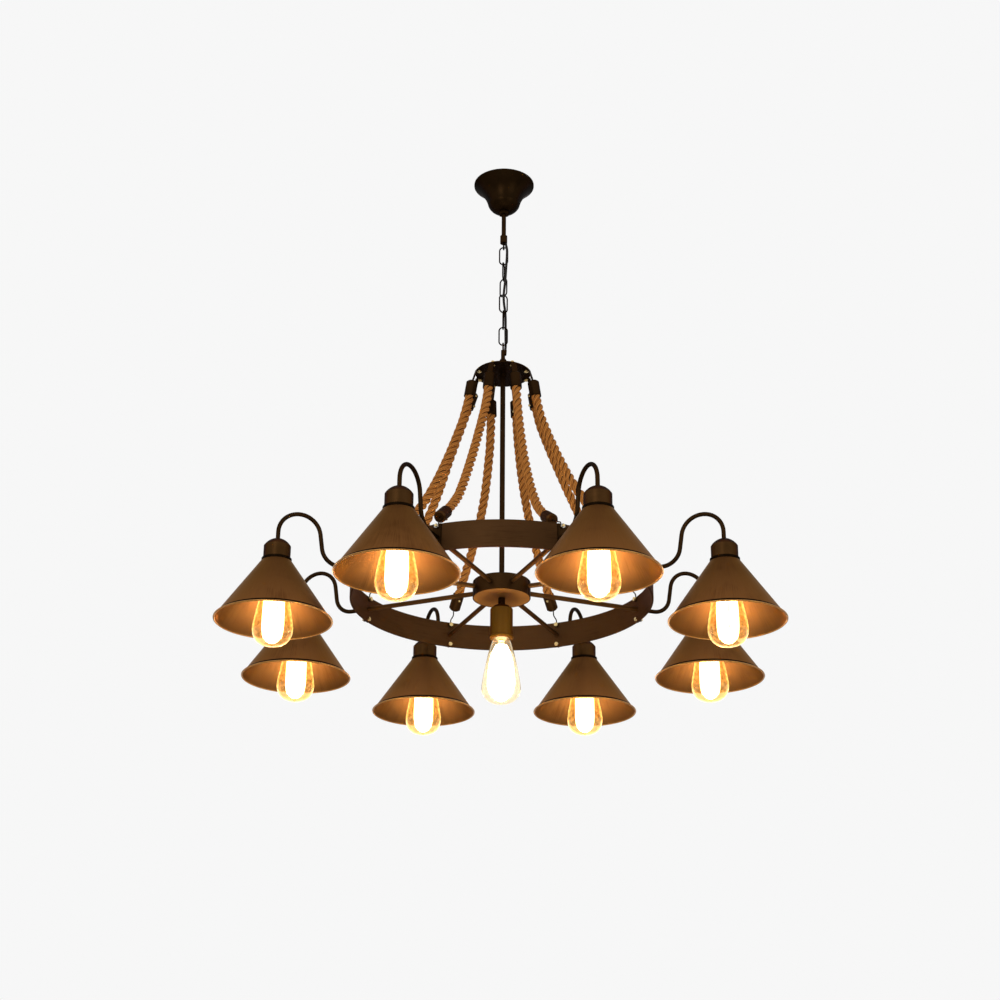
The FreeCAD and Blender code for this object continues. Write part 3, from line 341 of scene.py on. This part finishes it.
def finish_material(tree, shader):
    """Links the shader to the material's output."""
    add(tree, "ShaderNodeOutputMaterial", {"Surface": shader.outputs[0]})


# A height under every piece: as the default, it paints no shade
far_below = -9.0


def powder_coat(name, low, high, roughness, painted_shade_under=far_below, edge="#8a7252"):
    """Bronze-toned steel with a thin baked coat: tone drifts over a few centimetres, and 0.8 mm
    pebbles break up the light. Under the height given after roughness the tone is nearly black:
    painted shade of the shadowed gap above a shade's neck. Edge is the tone seen at a glancing
    angle."""
    material, tree = start_material(name)
    place = add(tree, "ShaderNodeTexCoord")
    cloud = add(tree, "ShaderNodeTexNoise", {"Vector": place.outputs["Object"],
                                             "Scale": 1 / (35 * mm), "Detail": 4.0,
                                             "Roughness": 0.6})
    colour = add(tree, "ShaderNodeValToRGB", {"Fac": cloud.outputs["Fac"]},
                 [(0.3, low), (0.7, high)])
    spot = add(tree, "ShaderNodeSeparateXYZ", {"Vector": place.outputs["Object"]})
    # Painted shade: under that height the tone turns nearly black, for a shadowed gap
    foot = add(tree, "ShaderNodeMath", {0: spot.outputs["Z"], 1: painted_shade_under},
               operation="LESS_THAN")
    toned = add(tree, "ShaderNodeMix", {0: foot.outputs[0], 6: colour.outputs["Color"],
                                        7: linear("#150c05")}, data_type="RGBA")
    pebble = add(tree, "ShaderNodeTexNoise", {"Vector": place.outputs["Object"],
                                              "Scale": 1 / (0.8 * mm), "Detail": 2.0})
    bump = add(tree, "ShaderNodeBump", {"Height": pebble.outputs["Fac"], "Strength": 0.2,
                                        "Distance": 0.1 * mm})
    rough = add(tree, "ShaderNodeMapRange", {"Value": cloud.outputs["Fac"], "From Min": 0.3,
                                             "From Max": 0.7, "To Min": roughness - 0.05,
                                             "To Max": roughness + 0.07})
    shader = add(tree, "ShaderNodeBsdfPrincipled", {
        "Base Color": toned.outputs[2], "Roughness": rough.outputs["Result"],
        "Metallic": 0.8, "Specular IOR Level": 0.1, "Specular Tint": linear(edge),
        "Normal": bump.outputs["Normal"]})
    finish_material(tree, shader)
    return material


def brushed_metal(name, tones, edge, roughness, metallic, source, spread, mouth_light=1.0):
    """Sheet brushed with fine belt lines and toned brown: the lines run one way, and stains a few
    centimetres wide lie under them. Down a shade's wall the tone is painted lighter or darker, so
    that at the mouth it is as many times as light as the last argument says: painted light of the
    bulbs' glow. Edge is the tone seen at a glancing angle."""
    material, tree = start_material(name)
    place = add(tree, "ShaderNodeTexCoord")
    drawn = add(tree, "ShaderNodeMapping", {"Vector": place.outputs[source], "Scale": spread})
    lines = add(tree, "ShaderNodeTexNoise", {"Vector": drawn.outputs["Vector"], "Scale": 1.0,
                                             "Detail": 4.0, "Roughness": 0.6})
    cloud = add(tree, "ShaderNodeTexNoise", {"Vector": place.outputs["Object"],
                                             "Scale": 1 / (60 * mm), "Detail": 3.0})
    tone = add(tree, "ShaderNodeMix", {0: 0.5, 2: lines.outputs["Fac"], 3: cloud.outputs["Fac"]})
    colour = add(tree, "ShaderNodeValToRGB", {"Fac": tone.outputs[0]},
                 [(0.38, tones[0]), (0.62, tones[2]), (0.5, tones[1])])
    wall = add(tree, "ShaderNodeSeparateXYZ", {"Vector": place.outputs["UV"]})
    # Painted light: the tone is scaled down the shade's wall to stand for the bulbs' glow
    painted_light_gain = add(tree, "ShaderNodeMapRange", {"Value": wall.outputs["Y"], "From Min": -0.3,
                                              "From Max": -0.95, "To Min": 1.0, "To Max": mouth_light})
    toned = add(tree, "ShaderNodeVectorMath", {0: colour.outputs["Color"],
                                               "Scale": painted_light_gain.outputs["Result"]},
                operation="SCALE")
    bump = add(tree, "ShaderNodeBump", {"Height": lines.outputs["Fac"], "Strength": 0.3,
                                        "Distance": 0.08 * mm})
    rough = add(tree, "ShaderNodeMapRange", {"Value": lines.outputs["Fac"], "From Min": 0.3,
                                             "From Max": 0.7, "To Min": roughness - 0.06,
                                             "To Max": roughness + 0.08})
    shader = add(tree, "ShaderNodeBsdfPrincipled", {
        "Base Color": toned.outputs["Vector"], "Roughness": rough.outputs["Result"],
        "Metallic": metallic, "Specular IOR Level": 0.1,
        "Specular Tint": linear(edge), "Normal": bump.outputs["Normal"]})
    finish_material(tree, shader)
    return material


def plated(name, dark, light, roughness):
    """Turned and plated fastener metal, with dull spots 2 mm across from handling."""
    material, tree = start_material(name)
    place = add(tree, "ShaderNodeTexCoord")
    spots = add(tree, "ShaderNodeTexNoise", {"Vector": place.outputs["Object"],
                                             "Scale": 1 / (2 * mm), "Detail": 3.0})
    colour = add(tree, "ShaderNodeValToRGB", {"Fac": spots.outputs["Fac"]},
                 [(0.35, dark), (0.6, light)])
    rough = add(tree, "ShaderNodeMapRange", {"Value": spots.outputs["Fac"], "From Min": 0.35,
                                             "From Max": 0.65, "To Min": roughness + 0.1,
                                             "To Max": roughness - 0.04})
    shader = add(tree, "ShaderNodeBsdfPrincipled", {
        "Base Color": colour.outputs["Color"], "Roughness": rough.outputs["Result"],
        "Metallic": 1.0})
    finish_material(tree, shader)
    return material


def hemp():
    """Hemp rope: orange-tan yarns that run along each strand and hair-fine fibres on them, with
    painted shade in the grooves between the strands and painted light on their crowns. Real yarns
    are 2 mm wide, and these 3 mm, so that they show."""
    material, tree = start_material("hemp_rope")
    place = add(tree, "ShaderNodeTexCoord")
    yarns = round(math.tau * strand_radius / (3.2 * mm))
    turns = 5
    # The wave texture draws a band each tau / 10: one per yarn round a strand, more along it
    lay = add(tree, "ShaderNodeMapping", {"Vector": place.outputs["UV"], "Scale": (
        -yarns * turns * math.tau / 10, yarns * math.tau / 10, 0)})
    yarn = add(tree, "ShaderNodeTexWave", {"Vector": lay.outputs["Vector"], "Scale": 1.0,
                                           "Distortion": 1.6, "Detail": 2.0,
                                           "Detail Scale": 2.0}, wave_type="BANDS",
               bands_direction="DIAGONAL")
    hair = add(tree, "ShaderNodeMapping", {"Vector": place.outputs["UV"],
                                           "Scale": (60.0, 90.0, 1.0)})
    fibre = add(tree, "ShaderNodeTexNoise", {"Vector": hair.outputs["Vector"], "Scale": 1.0,
                                             "Detail": 5.0, "Roughness": 0.7})
    patch = add(tree, "ShaderNodeTexNoise", {"Vector": place.outputs["Object"],
                                             "Scale": 1 / (16 * mm), "Detail": 3.0})
    depth = add(tree, "ShaderNodeAttribute", attribute_name="depth")
    crown = add(tree, "ShaderNodeMapRange", {"Value": depth.outputs["Fac"], "From Min": 0.42,
                                             "From Max": 0.9, "To Min": 0.0, "To Max": 1.0},
                interpolation_type="SMOOTHSTEP")
    thread = add(tree, "ShaderNodeMix", {0: 0.3, 2: yarn.outputs["Fac"],
                                         3: fibre.outputs["Fac"]})
    tone = add(tree, "ShaderNodeMix", {0: 0.15, 2: thread.outputs[0], 3: patch.outputs["Fac"]})
    # Painted shade in the grooves and painted light on the crowns, from the depth attribute
    lit = add(tree, "ShaderNodeMath", {0: crown.outputs["Result"], 1: 0.62, 2: -0.40},
              operation="MULTIPLY_ADD")
    shade = add(tree, "ShaderNodeMath", {0: tone.outputs[0], 1: lit.outputs[0]})
    colour = add(tree, "ShaderNodeValToRGB", {"Fac": shade.outputs[0]},
                 [(0.14, "#2a1204"), (0.88, "#e2a864"), (0.32, "#683608"), (0.52, "#a76324"),
                  (0.68, "#c8843f")])
    bump = add(tree, "ShaderNodeBump", {"Height": thread.outputs[0], "Strength": 0.9,
                                        "Distance": 0.5 * mm})
    shader = add(tree, "ShaderNodeBsdfPrincipled", {
        "Base Color": colour.outputs["Color"], "Roughness": 0.9, "Specular IOR Level": 0.15,
        "Normal": bump.outputs["Normal"]})
    finish_material(tree, shader)
    return material


def moulded(name, dark, light, roughness):
    """Moulded plastic or rubber: smooth, with a mottle about 5 mm across."""
    material, tree = start_material(name)
    place = add(tree, "ShaderNodeTexCoord")
    mottle = add(tree, "ShaderNodeTexNoise", {"Vector": place.outputs["Object"],
                                              "Scale": 1 / (5 * mm), "Detail": 3.0})
    colour = add(tree, "ShaderNodeValToRGB", {"Fac": mottle.outputs["Fac"]},
                 [(0.35, dark), (0.65, light)])
    bump = add(tree, "ShaderNodeBump", {"Height": mottle.outputs["Fac"], "Strength": 0.1,
                                        "Distance": 0.1 * mm})
    shader = add(tree, "ShaderNodeBsdfPrincipled", {
        "Base Color": colour.outputs["Color"], "Roughness": roughness,
        "Specular IOR Level": 0.3, "Normal": bump.outputs["Normal"]})
    finish_material(tree, shader)
    return material


def lamp_glass(name, tint, glow, face_glow, rim_glow):
    """Blown bulb glass lit from inside: thin and tinted, brightest where its edge is seen through
    the most glass."""
    material, tree = start_material(name)
    place = add(tree, "ShaderNodeTexCoord")
    ripple = add(tree, "ShaderNodeTexNoise", {"Vector": place.outputs["Object"],
                                              "Scale": 1 / (14 * mm), "Detail": 2.0})
    blotch = add(tree, "ShaderNodeTexNoise", {"Vector": place.outputs["Object"],
                                              "Scale": 1 / (6 * mm), "Detail": 2.0})
    uneven = add(tree, "ShaderNodeMapRange", {"Value": blotch.outputs["Fac"], "From Min": 0.38,
                                              "From Max": 0.62, "To Min": 0.4, "To Max": 1.6})
    bump = add(tree, "ShaderNodeBump", {"Height": ripple.outputs["Fac"], "Strength": 0.06,
                                        "Distance": 0.3 * mm})
    edge = add(tree, "ShaderNodeLayerWeight", {"Blend": 0.25})
    rim = add(tree, "ShaderNodeMapRange", {"Value": edge.outputs["Facing"], "From Min": 0.3,
                                           "From Max": 0.6, "To Min": face_glow,
                                           "To Max": rim_glow})
    lit = add(tree, "ShaderNodeMath", {0: rim.outputs["Result"], 1: uneven.outputs["Result"]},
              operation="MULTIPLY")
    shader = add(tree, "ShaderNodeBsdfPrincipled", {
        "Base Color": linear(tint), "Roughness": 0.02, "IOR": 1.3,
        "Transmission Weight": 1.0, "Emission Color": linear(glow),
        "Emission Strength": lit.outputs[0], "Normal": bump.outputs["Normal"]})
    finish_material(tree, shader)
    return material


def hot(name, colour, strength):
    """A filament too bright to look into: it reads as plain white."""
    material, tree = start_material(name)
    shader = add(tree, "ShaderNodeBsdfPrincipled", {
        "Base Color": linear("#ffe9c0"), "Roughness": 0.6, "Emission Color": linear(colour),
        "Emission Strength": strength})
    finish_material(tree, shader)
    return material


canopy_coat = powder_coat("satin_black_brown_powder_coat", "#1c1207", "#27190b", 0.36,
                          edge="#6a4424")
chain_coat = powder_coat("blackened_chain_coat", "#120b05", "#1c1209", 0.6, edge="#4a3420")
cap_coat = powder_coat("rope_cap_bronze_coat", "#3a2410", "#482e16", 0.42)
rod_coat = powder_coat("dark_bronze_powder_coat", "#26180b", "#33210f", 0.42)
# Painted shade: the flange under each cup's foot is nearly black, for the shadowed gap above the
# shade
cup_coat = powder_coat("brown_bronze_powder_coat", "#3a2611", "#4a3119", 0.33,
                       painted_shade_under=-0.7949)
drum_coat = powder_coat("drum_bronze_powder_coat", "#35220f", "#432c16", 0.42)
spoke_coat = powder_coat("spoke_bronze_powder_coat", "#4a2f16", "#5c3d20", 0.42)
cover_coat = powder_coat("light_bronze_powder_coat", "#8a5e2f", "#9c6c3a", 0.5)
hoop_metal = brushed_metal("rolled_bronze_hoop", ("#3d2714", "#472f1a", "#523820"), "#a08060",
                           0.5, 0.8, "Object", (1 / (40 * mm), 1 / (40 * mm), 1 / (2 * mm)))
holder_metal = brushed_metal("toned_brass_holder", ("#553810", "#664517", "#785420"), "#a08060",
                             0.38, 0.9, "Object", (1 / (1.2 * mm), 1 / (1.2 * mm),
                                                   1 / (50 * mm)))
mouth_round = math.tau * mouth_radius * mm
# Painted light: outside, the tone grows 1.6 times as light towards the mouth, for the bulbs' glow
# there
shade_metal = brushed_metal("brushed_bronze_shade", ("#4a2c15", "#5a391d", "#6b4727"), "#d8c8b4",
                            0.42, 0.9, "UV", (mouth_round / (1.3 * mm), 2.0, 1), 1.6)
# Painted light: inside, the tones are lighter than outside and fall to 0.26 times towards the
# mouth, for the bulb's glow
inner_metal = brushed_metal("bronze_inside_with_painted_glow", ("#8a5a2e", "#9c6838", "#ae7845"),
                            "#c8b0a0", 0.4, 0.9, "UV", (mouth_round / (2.6 * mm), 2.0, 1), 0.26)
hem_metal = plated("bare_bronze_hem", "#8c5f2c", "#b17f40", 0.3)
# Painted shadow: the fold line above the hem is nearly black for the shade that falls in it
fold_shadow_coat = powder_coat("painted_shadow_in_hem_fold", "#140b04", "#1c1006", 0.6)
brass_metal = plated("bright_brass_screws", "#b08a48", "#f0d79c", 0.22)
zinc_metal = plated("zinc_plate", "#8d8a84", "#c4c2bc", 0.34)
base_metal = plated("nickelled_bulb_base", "#a89a80", "#d8ccb4", 0.28)
hemp_fibre = hemp()
sleeve = moulded("black_cord_sleeve", "#0c0704", "#150d07", 0.75)
holder_plastic = moulded("brown_bakelite_holder", "#2c1b0e", "#3f2915", 0.4)
porcelain = moulded("white_porcelain", "#d9d5cb", "#eeeae0", 0.35)
amber_glass = lamp_glass("amber_bulb_glass", "#ffe4b8", "#ffcc74", 0.12, 0.9)
pale_glass = lamp_glass("pale_bulb_glass", "#fff5e0", "#ffe6b0", 0.06, 0.12)
filament_hot = hot("white_hot_filament", "#ffeccb", 6.0)
pale_hot = hot("pale_hot_filament", "#fff4dc", 8.0)


def paint(piece, *materials):
    """Puts the materials in the piece's slots, so that its faces keep theirs."""
    slots = piece.data.materials
    for k, material in enumerate(materials):
        if k < len(slots):
            slots[k] = material
        else:
            slots.append(material)


for cord in power_cords:
    paint(cord, sleeve)
for rope in ropes:
    paint(rope, hemp_fibre)

cad_finish = {
    "ceiling_bracket": zinc_metal, "bracket_nuts": zinc_metal, "terminal_block": porcelain,
    "stem": rod_coat, "stem_collar": rod_coat, "stem_hook": chain_coat,
    "canopy": canopy_coat, "canopy_nut": rod_coat, "chain_links": chain_coat,
    "rod_eye": rod_coat, "main_rod": rod_coat, "rod_cone": rod_coat, "top_plate": rod_coat,
    "plate_nut": rod_coat, "plate_screws": brass_metal, "rope_tabs": rod_coat,
    "upper_rope_caps": rod_coat, "lower_rope_caps": cap_coat, "cap_screws": brass_metal,
    "rope_hangers": rod_coat, "wheel_ring": hoop_metal, "spokes": spoke_coat,
    "hub_drum": drum_coat, "hub_cover": cover_coat, "hub_terminal_block": porcelain,
    "arm_plates": rod_coat, "ring_screws": brass_metal, "ring_nuts": zinc_metal,
    "arms": rod_coat, "lamp_cups": cup_coat, "lamp_holders": holder_plastic,
    "centre_nipple": rod_coat, "centre_holder": holder_metal}
for name, finish in cad_finish.items():
    paint(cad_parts[name], finish)

# Turned pieces


def turned(profile, steps, closed=False):
    """Spins a profile of (radius, height) in millimetres round the upright axis. The UV map runs
    round the piece in u and down the profile's length in v."""
    bm = bmesh.new()
    verts = [bm.verts.new((r * mm, 0, z * mm)) for r, z in profile]
    rings = list(zip(verts, verts[1:]))
    if closed:
        rings.append((verts[-1], verts[0]))
    edges = [bm.edges.new(pair) for pair in rings]
    bmesh.ops.spin(bm, geom=verts + edges, cent=(0, 0, 0), axis=(0, 0, 1), angle=math.tau,
                   steps=steps, use_merge=True)
    bmesh.ops.remove_doubles(bm, verts=bm.verts, dist=1e-6)
    bmesh.ops.recalc_face_normals(bm, faces=bm.faces)
    layer = bm.loops.layers.uv.new("UVMap")
    for face in bm.faces:
        angles = [math.atan2(loop.vert.co.y, loop.vert.co.x) / math.tau for loop in face.loops]
        split = max(angles) - min(angles) > 0.5
        for loop, angle in zip(face.loops, angles):
            loop[layer].uv = (angle + 1 if split and angle < 0 else angle, loop.vert.co.z * 10)
    return bm


def rounded(corners, radius, steps=4):
    """Rounds each inner corner of an open profile with a small arc of points."""
    points = [Vector(c) for c in corners]
    out = [points[0]]
    for a, b, c in zip(points, points[1:], points[2:]):
        into, on = (a - b), (c - b)
        cut = min(radius, into.length * 0.45, on.length * 0.45)
        first, last = b + into.normalized() * cut, b + on.normalized() * cut
        for k in range(steps + 1):
            share = k / steps
            out.append(first.lerp(b, share).lerp(b.lerp(last, share), share))
    out.append(points[-1])
    return [tuple(p) for p in out]


# Shades: a spun cone with a shoulder at its neck and a rolled hem, over each CAD cone

shade_top = -798.8
hole_radius = 19.1
fold_top, fold_foot = -92.9, -96.9
slope = (mouth_radius - neck_radius) / cone_height
# One millimetre through the sheet is so much along the radius
slant = 1.21


def cone(z, inward=0.0):
    """A point on the cone's outside at this height, or as far as inward under it."""
    return (neck_radius - slope * z - inward * slant, z)


bead_centre, bead_radius = (92.15, -98.35), 1.35
bead = [(bead_centre[0] + bead_radius * math.cos(math.radians(t)),
         bead_centre[1] + bead_radius * math.sin(math.radians(t))) for t in range(125, -200, -25)]
shade_profile = rounded([(hole_radius, 0), (neck_radius, 0), cone(fold_top)], 2.0)
shade_profile += [cone(-93.2, 0.5), cone(-96.4, 0.5)] + bead
shade_profile += rounded([cone(-96.5, 1.0), (22.8, -1), (hole_radius, -1)], 1.5)


def shade_cone():
    """The spun shade: brushed sheet, a fold line with painted shadow in it and a bare rolled bead
    at the mouth.
    """
    bm = turned(shade_profile, 96, closed=True)
    for face in bm.faces:
        spot = face.calc_center_median() / mm
        out = math.hypot(spot.x, spot.y)
        on_bead = math.hypot(out - bead_centre[0], spot.z - bead_centre[1]) < 1.5
        # The fold's faces take the painted shadow
        in_fold_shadow = fold_foot < spot.z < fold_top and out > cone(spot.z, 0.7)[0]
        inside = out < cone(spot.z, 0.6)[0]
        face.material_index = 1 if on_bead else 2 if in_fold_shadow else 3 if inside else 0
    return bm


# The teardrop's side in millimetres, from its neck to the pip at the tip
bulb_side = [(12.7, -27.1), (12.9, -29), (14.4, -33), (17.0, -40), (19.4, -48), (21.8, -57),
             (24.0, -66), (26.5, -78), (28.9, -91), (30.8, -102), (31.8, -110), (31.9, -115),
             (30.9, -121), (28.3, -127.4), (24.2, -132.8), (18.4, -136.6), (11.6, -139.2),
             (6.0, -140.2), (2.6, -140.4), (1.7, -141.4), (0, -142)]
glass_wall = 0.6


def bulb_glass():
    """The blown glass: its outside, and an inside one wall further in."""
    outer = [Vector(p) for p in bulb_side]
    inner = []
    for k, p in enumerate(outer):
        way = outer[min(k + 1, len(outer) - 1)] - outer[max(k - 1, 0)]
        inward = Vector((way.y, -way.x)).normalized() * glass_wall
        inner.append((max(0.0, p.x + inward.x) if p.x > 0 else 0, p.y + inward.y))
    return turned([tuple(p) for p in outer] + inner[::-1], 64, closed=True)


def bulb_base():
    """A rolled screw base: a glass insulator and contact, five rolled threads and a skirt."""
    profile = [(0, 0), (4.6, 0), (4.8, -0.6), (4.8, -1.4), (9.6, -4.4), (12.0, -5.6)]
    turns, start, pitch = 5, -6.6, 3.4
    for k in range(turns):
        z = start - k * pitch
        profile += [(12.1, z), (12.8, z - 0.7), (13.0, z - 1.5), (12.8, z - 2.3),
                    (12.1, z - 3.0)]
    profile += [(12.2, -24.4), (12.9, -25.2), (12.95, -27.0), (12.0, -27.0), (0, -27.0)]
    return turned(profile, 40)


def bulb_filament(posts, spread):
    """A cage of tall hairpins round the glass stem, wide in the belly of the bulb."""
    side = [(8.5, -42), (13.0, -54), (15.8, -68), (16.2, -92), (16.2, -114)]
    side = [(r + spread * min(1, (-40 - z) / 60), z) for r, z in side]
    paths = []
    for k in range(posts):
        a = math.tau * (k + 0.22) / posts
        b = math.tau * (k + 0.78) / posts
        middle = (a + b) / 2
        legs = [Vector((r * math.cos(a), r * math.sin(a), z)) for r, z in side]
        legs.append(Vector((12.6 * math.cos(middle), 12.6 * math.sin(middle), -131)))
        legs += [Vector((r * math.cos(b), r * math.sin(b), z)) for r, z in side[::-1]]
        paths.append([(p * mm, 1) for p in legs])
    bm = bmesh.new()
    bm.from_mesh(swept("hairpins", paths, 1.3 * mm, 1, "NURBS"))
    return bm


def bulb_mount():
    """The glass stem that carries the filament, flared at its foot."""
    return turned([(0, -27.2), (11.4, -27.2), (9.0, -30), (5.2, -35), (4.0, -42), (4.0, -58),
                   (5.4, -60), (5.4, -62.5), (2.0, -64), (1.2, -66), (1.2, -112), (2.6, -113),
                   (2.6, -115), (0, -116)], 24)


for k, angle in enumerate(lamp_angles):
    bm = shade_cone()
    bmesh.ops.translate(bm, verts=bm.verts, vec=on_lamp_axis(angle, shade_top * mm))
    shade = piece_from(bm, f"shade_{k + 1}_cone", 50)
    paint(shade, shade_metal, hem_metal, fold_shadow_coat, inner_metal)
    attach(shade, "fixture")
    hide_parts(f"shade_{k + 1}")

bulb_height, centre_height, glow_drop = -0.799, -0.848, -0.125
bulb_tops = [(f"bulb_{k + 1}", on_lamp_axis(angle, bulb_height), amber_glass, filament_hot)
             for k, angle in enumerate(lamp_angles)]
bulb_tops.append(("centre_bulb", Vector((0, 0, centre_height)), pale_glass, pale_hot))
for name, spot, glass, glow in bulb_tops:
    cage = bulb_filament(16, 5.5) if name == "centre_bulb" else bulb_filament(12, 0)
    made = [("glass", bulb_glass(), glass), ("base", bulb_base(), base_metal),
            ("mount", bulb_mount(), glass), ("filament", cage, glow)]
    for part_name, bm, finish in made:
        bmesh.ops.translate(bm, verts=bm.verts, vec=spot)
        piece = piece_from(bm, f"{name}_{part_name}", 45)
        paint(piece, finish)
        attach(piece, name + "_body")
        if part_name == "glass":
            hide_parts(name)
        # Only the base stops the light of the glow lamp inside
        piece.visible_shadow = part_name == "base"
    glow_lamp = bpy.data.lights.new(name + "_glow", "POINT")
    glow_lamp.energy = 0.9
    glow_lamp.color = (1.0, 0.86, 0.60)
    glow_lamp.shadow_soft_size = 0.015
    glow_spot = bpy.data.objects.new(name + "_glow", glow_lamp)
    glow_spot.location = spot + Vector((0, 0, glow_drop))
    glow_spot.visible_camera = False
    scene.collection.objects.link(glow_spot)

# Studio: pale floor far below, pale surroundings, soft lamps in front and below

studio_white = "#f7f7f7"
floor_half, floor_height = 6.0, -2.3
floor_bm = bmesh.new()
bmesh.ops.create_grid(floor_bm, x_segments=1, y_segments=1, size=floor_half)
bmesh.ops.translate(floor_bm, verts=floor_bm.verts, vec=(0, 0, floor_height))
floor = piece_from(floor_bm, "studio_floor")
floor_paint, tree = start_material("pale_studio_floor")
matt = add(tree, "ShaderNodeBsdfPrincipled", {"Base Color": linear(studio_white),
                                              "Roughness": 0.9})
finish_material(tree, matt)
paint(floor, floor_paint)

world = bpy.data.worlds.new("pale_room")
scene.world = world
world.use_nodes = True
tree = world.node_tree
tree.nodes.clear()
path = add(tree, "ShaderNodeLightPath")
seen = add(tree, "ShaderNodeMath", {0: path.outputs["Is Camera Ray"],
                                    1: path.outputs["Is Glossy Ray"]}, operation="MAXIMUM")
seen = add(tree, "ShaderNodeMath", {0: seen.outputs[0],
                                    1: path.outputs["Is Transmission Ray"]},
           operation="MAXIMUM")
ambient = add(tree, "ShaderNodeBackground", {"Color": (1.0, 0.98, 0.95, 1), "Strength": 0.45})
backdrop = add(tree, "ShaderNodeBackground", {"Color": linear(studio_white), "Strength": 1.0})
room = add(tree, "ShaderNodeMixShader", {0: seen.outputs[0], 1: ambient.outputs[0],
                                         2: backdrop.outputs[0]})
add(tree, "ShaderNodeOutputWorld", {"Surface": room.outputs[0]})


def soft_lamp(name, spot, aim, size, energy):
    """A square studio lamp that faces aim and isn't seen by the camera."""
    lamp = bpy.data.lights.new(name, "AREA")
    lamp.size = size
    lamp.energy = energy
    obj = bpy.data.objects.new(name, lamp)
    obj.matrix_world = Matrix.Translation(spot) @ (
        Vector(aim) - Vector(spot)).to_track_quat("-Z", "Y").to_matrix().to_4x4()
    obj.visible_camera = False
    scene.collection.objects.link(obj)


soft_lamp("key", (-0.9, -2.7, -0.6), (0, 0, -0.7), 0.9, 15)
soft_lamp("fill", (2.0, -2.0, -1.0), (0, 0, -0.7), 1.4, 10)
soft_lamp("under", (0, -0.6, -2.2), (0, 0, -0.8), 1.4, 7)
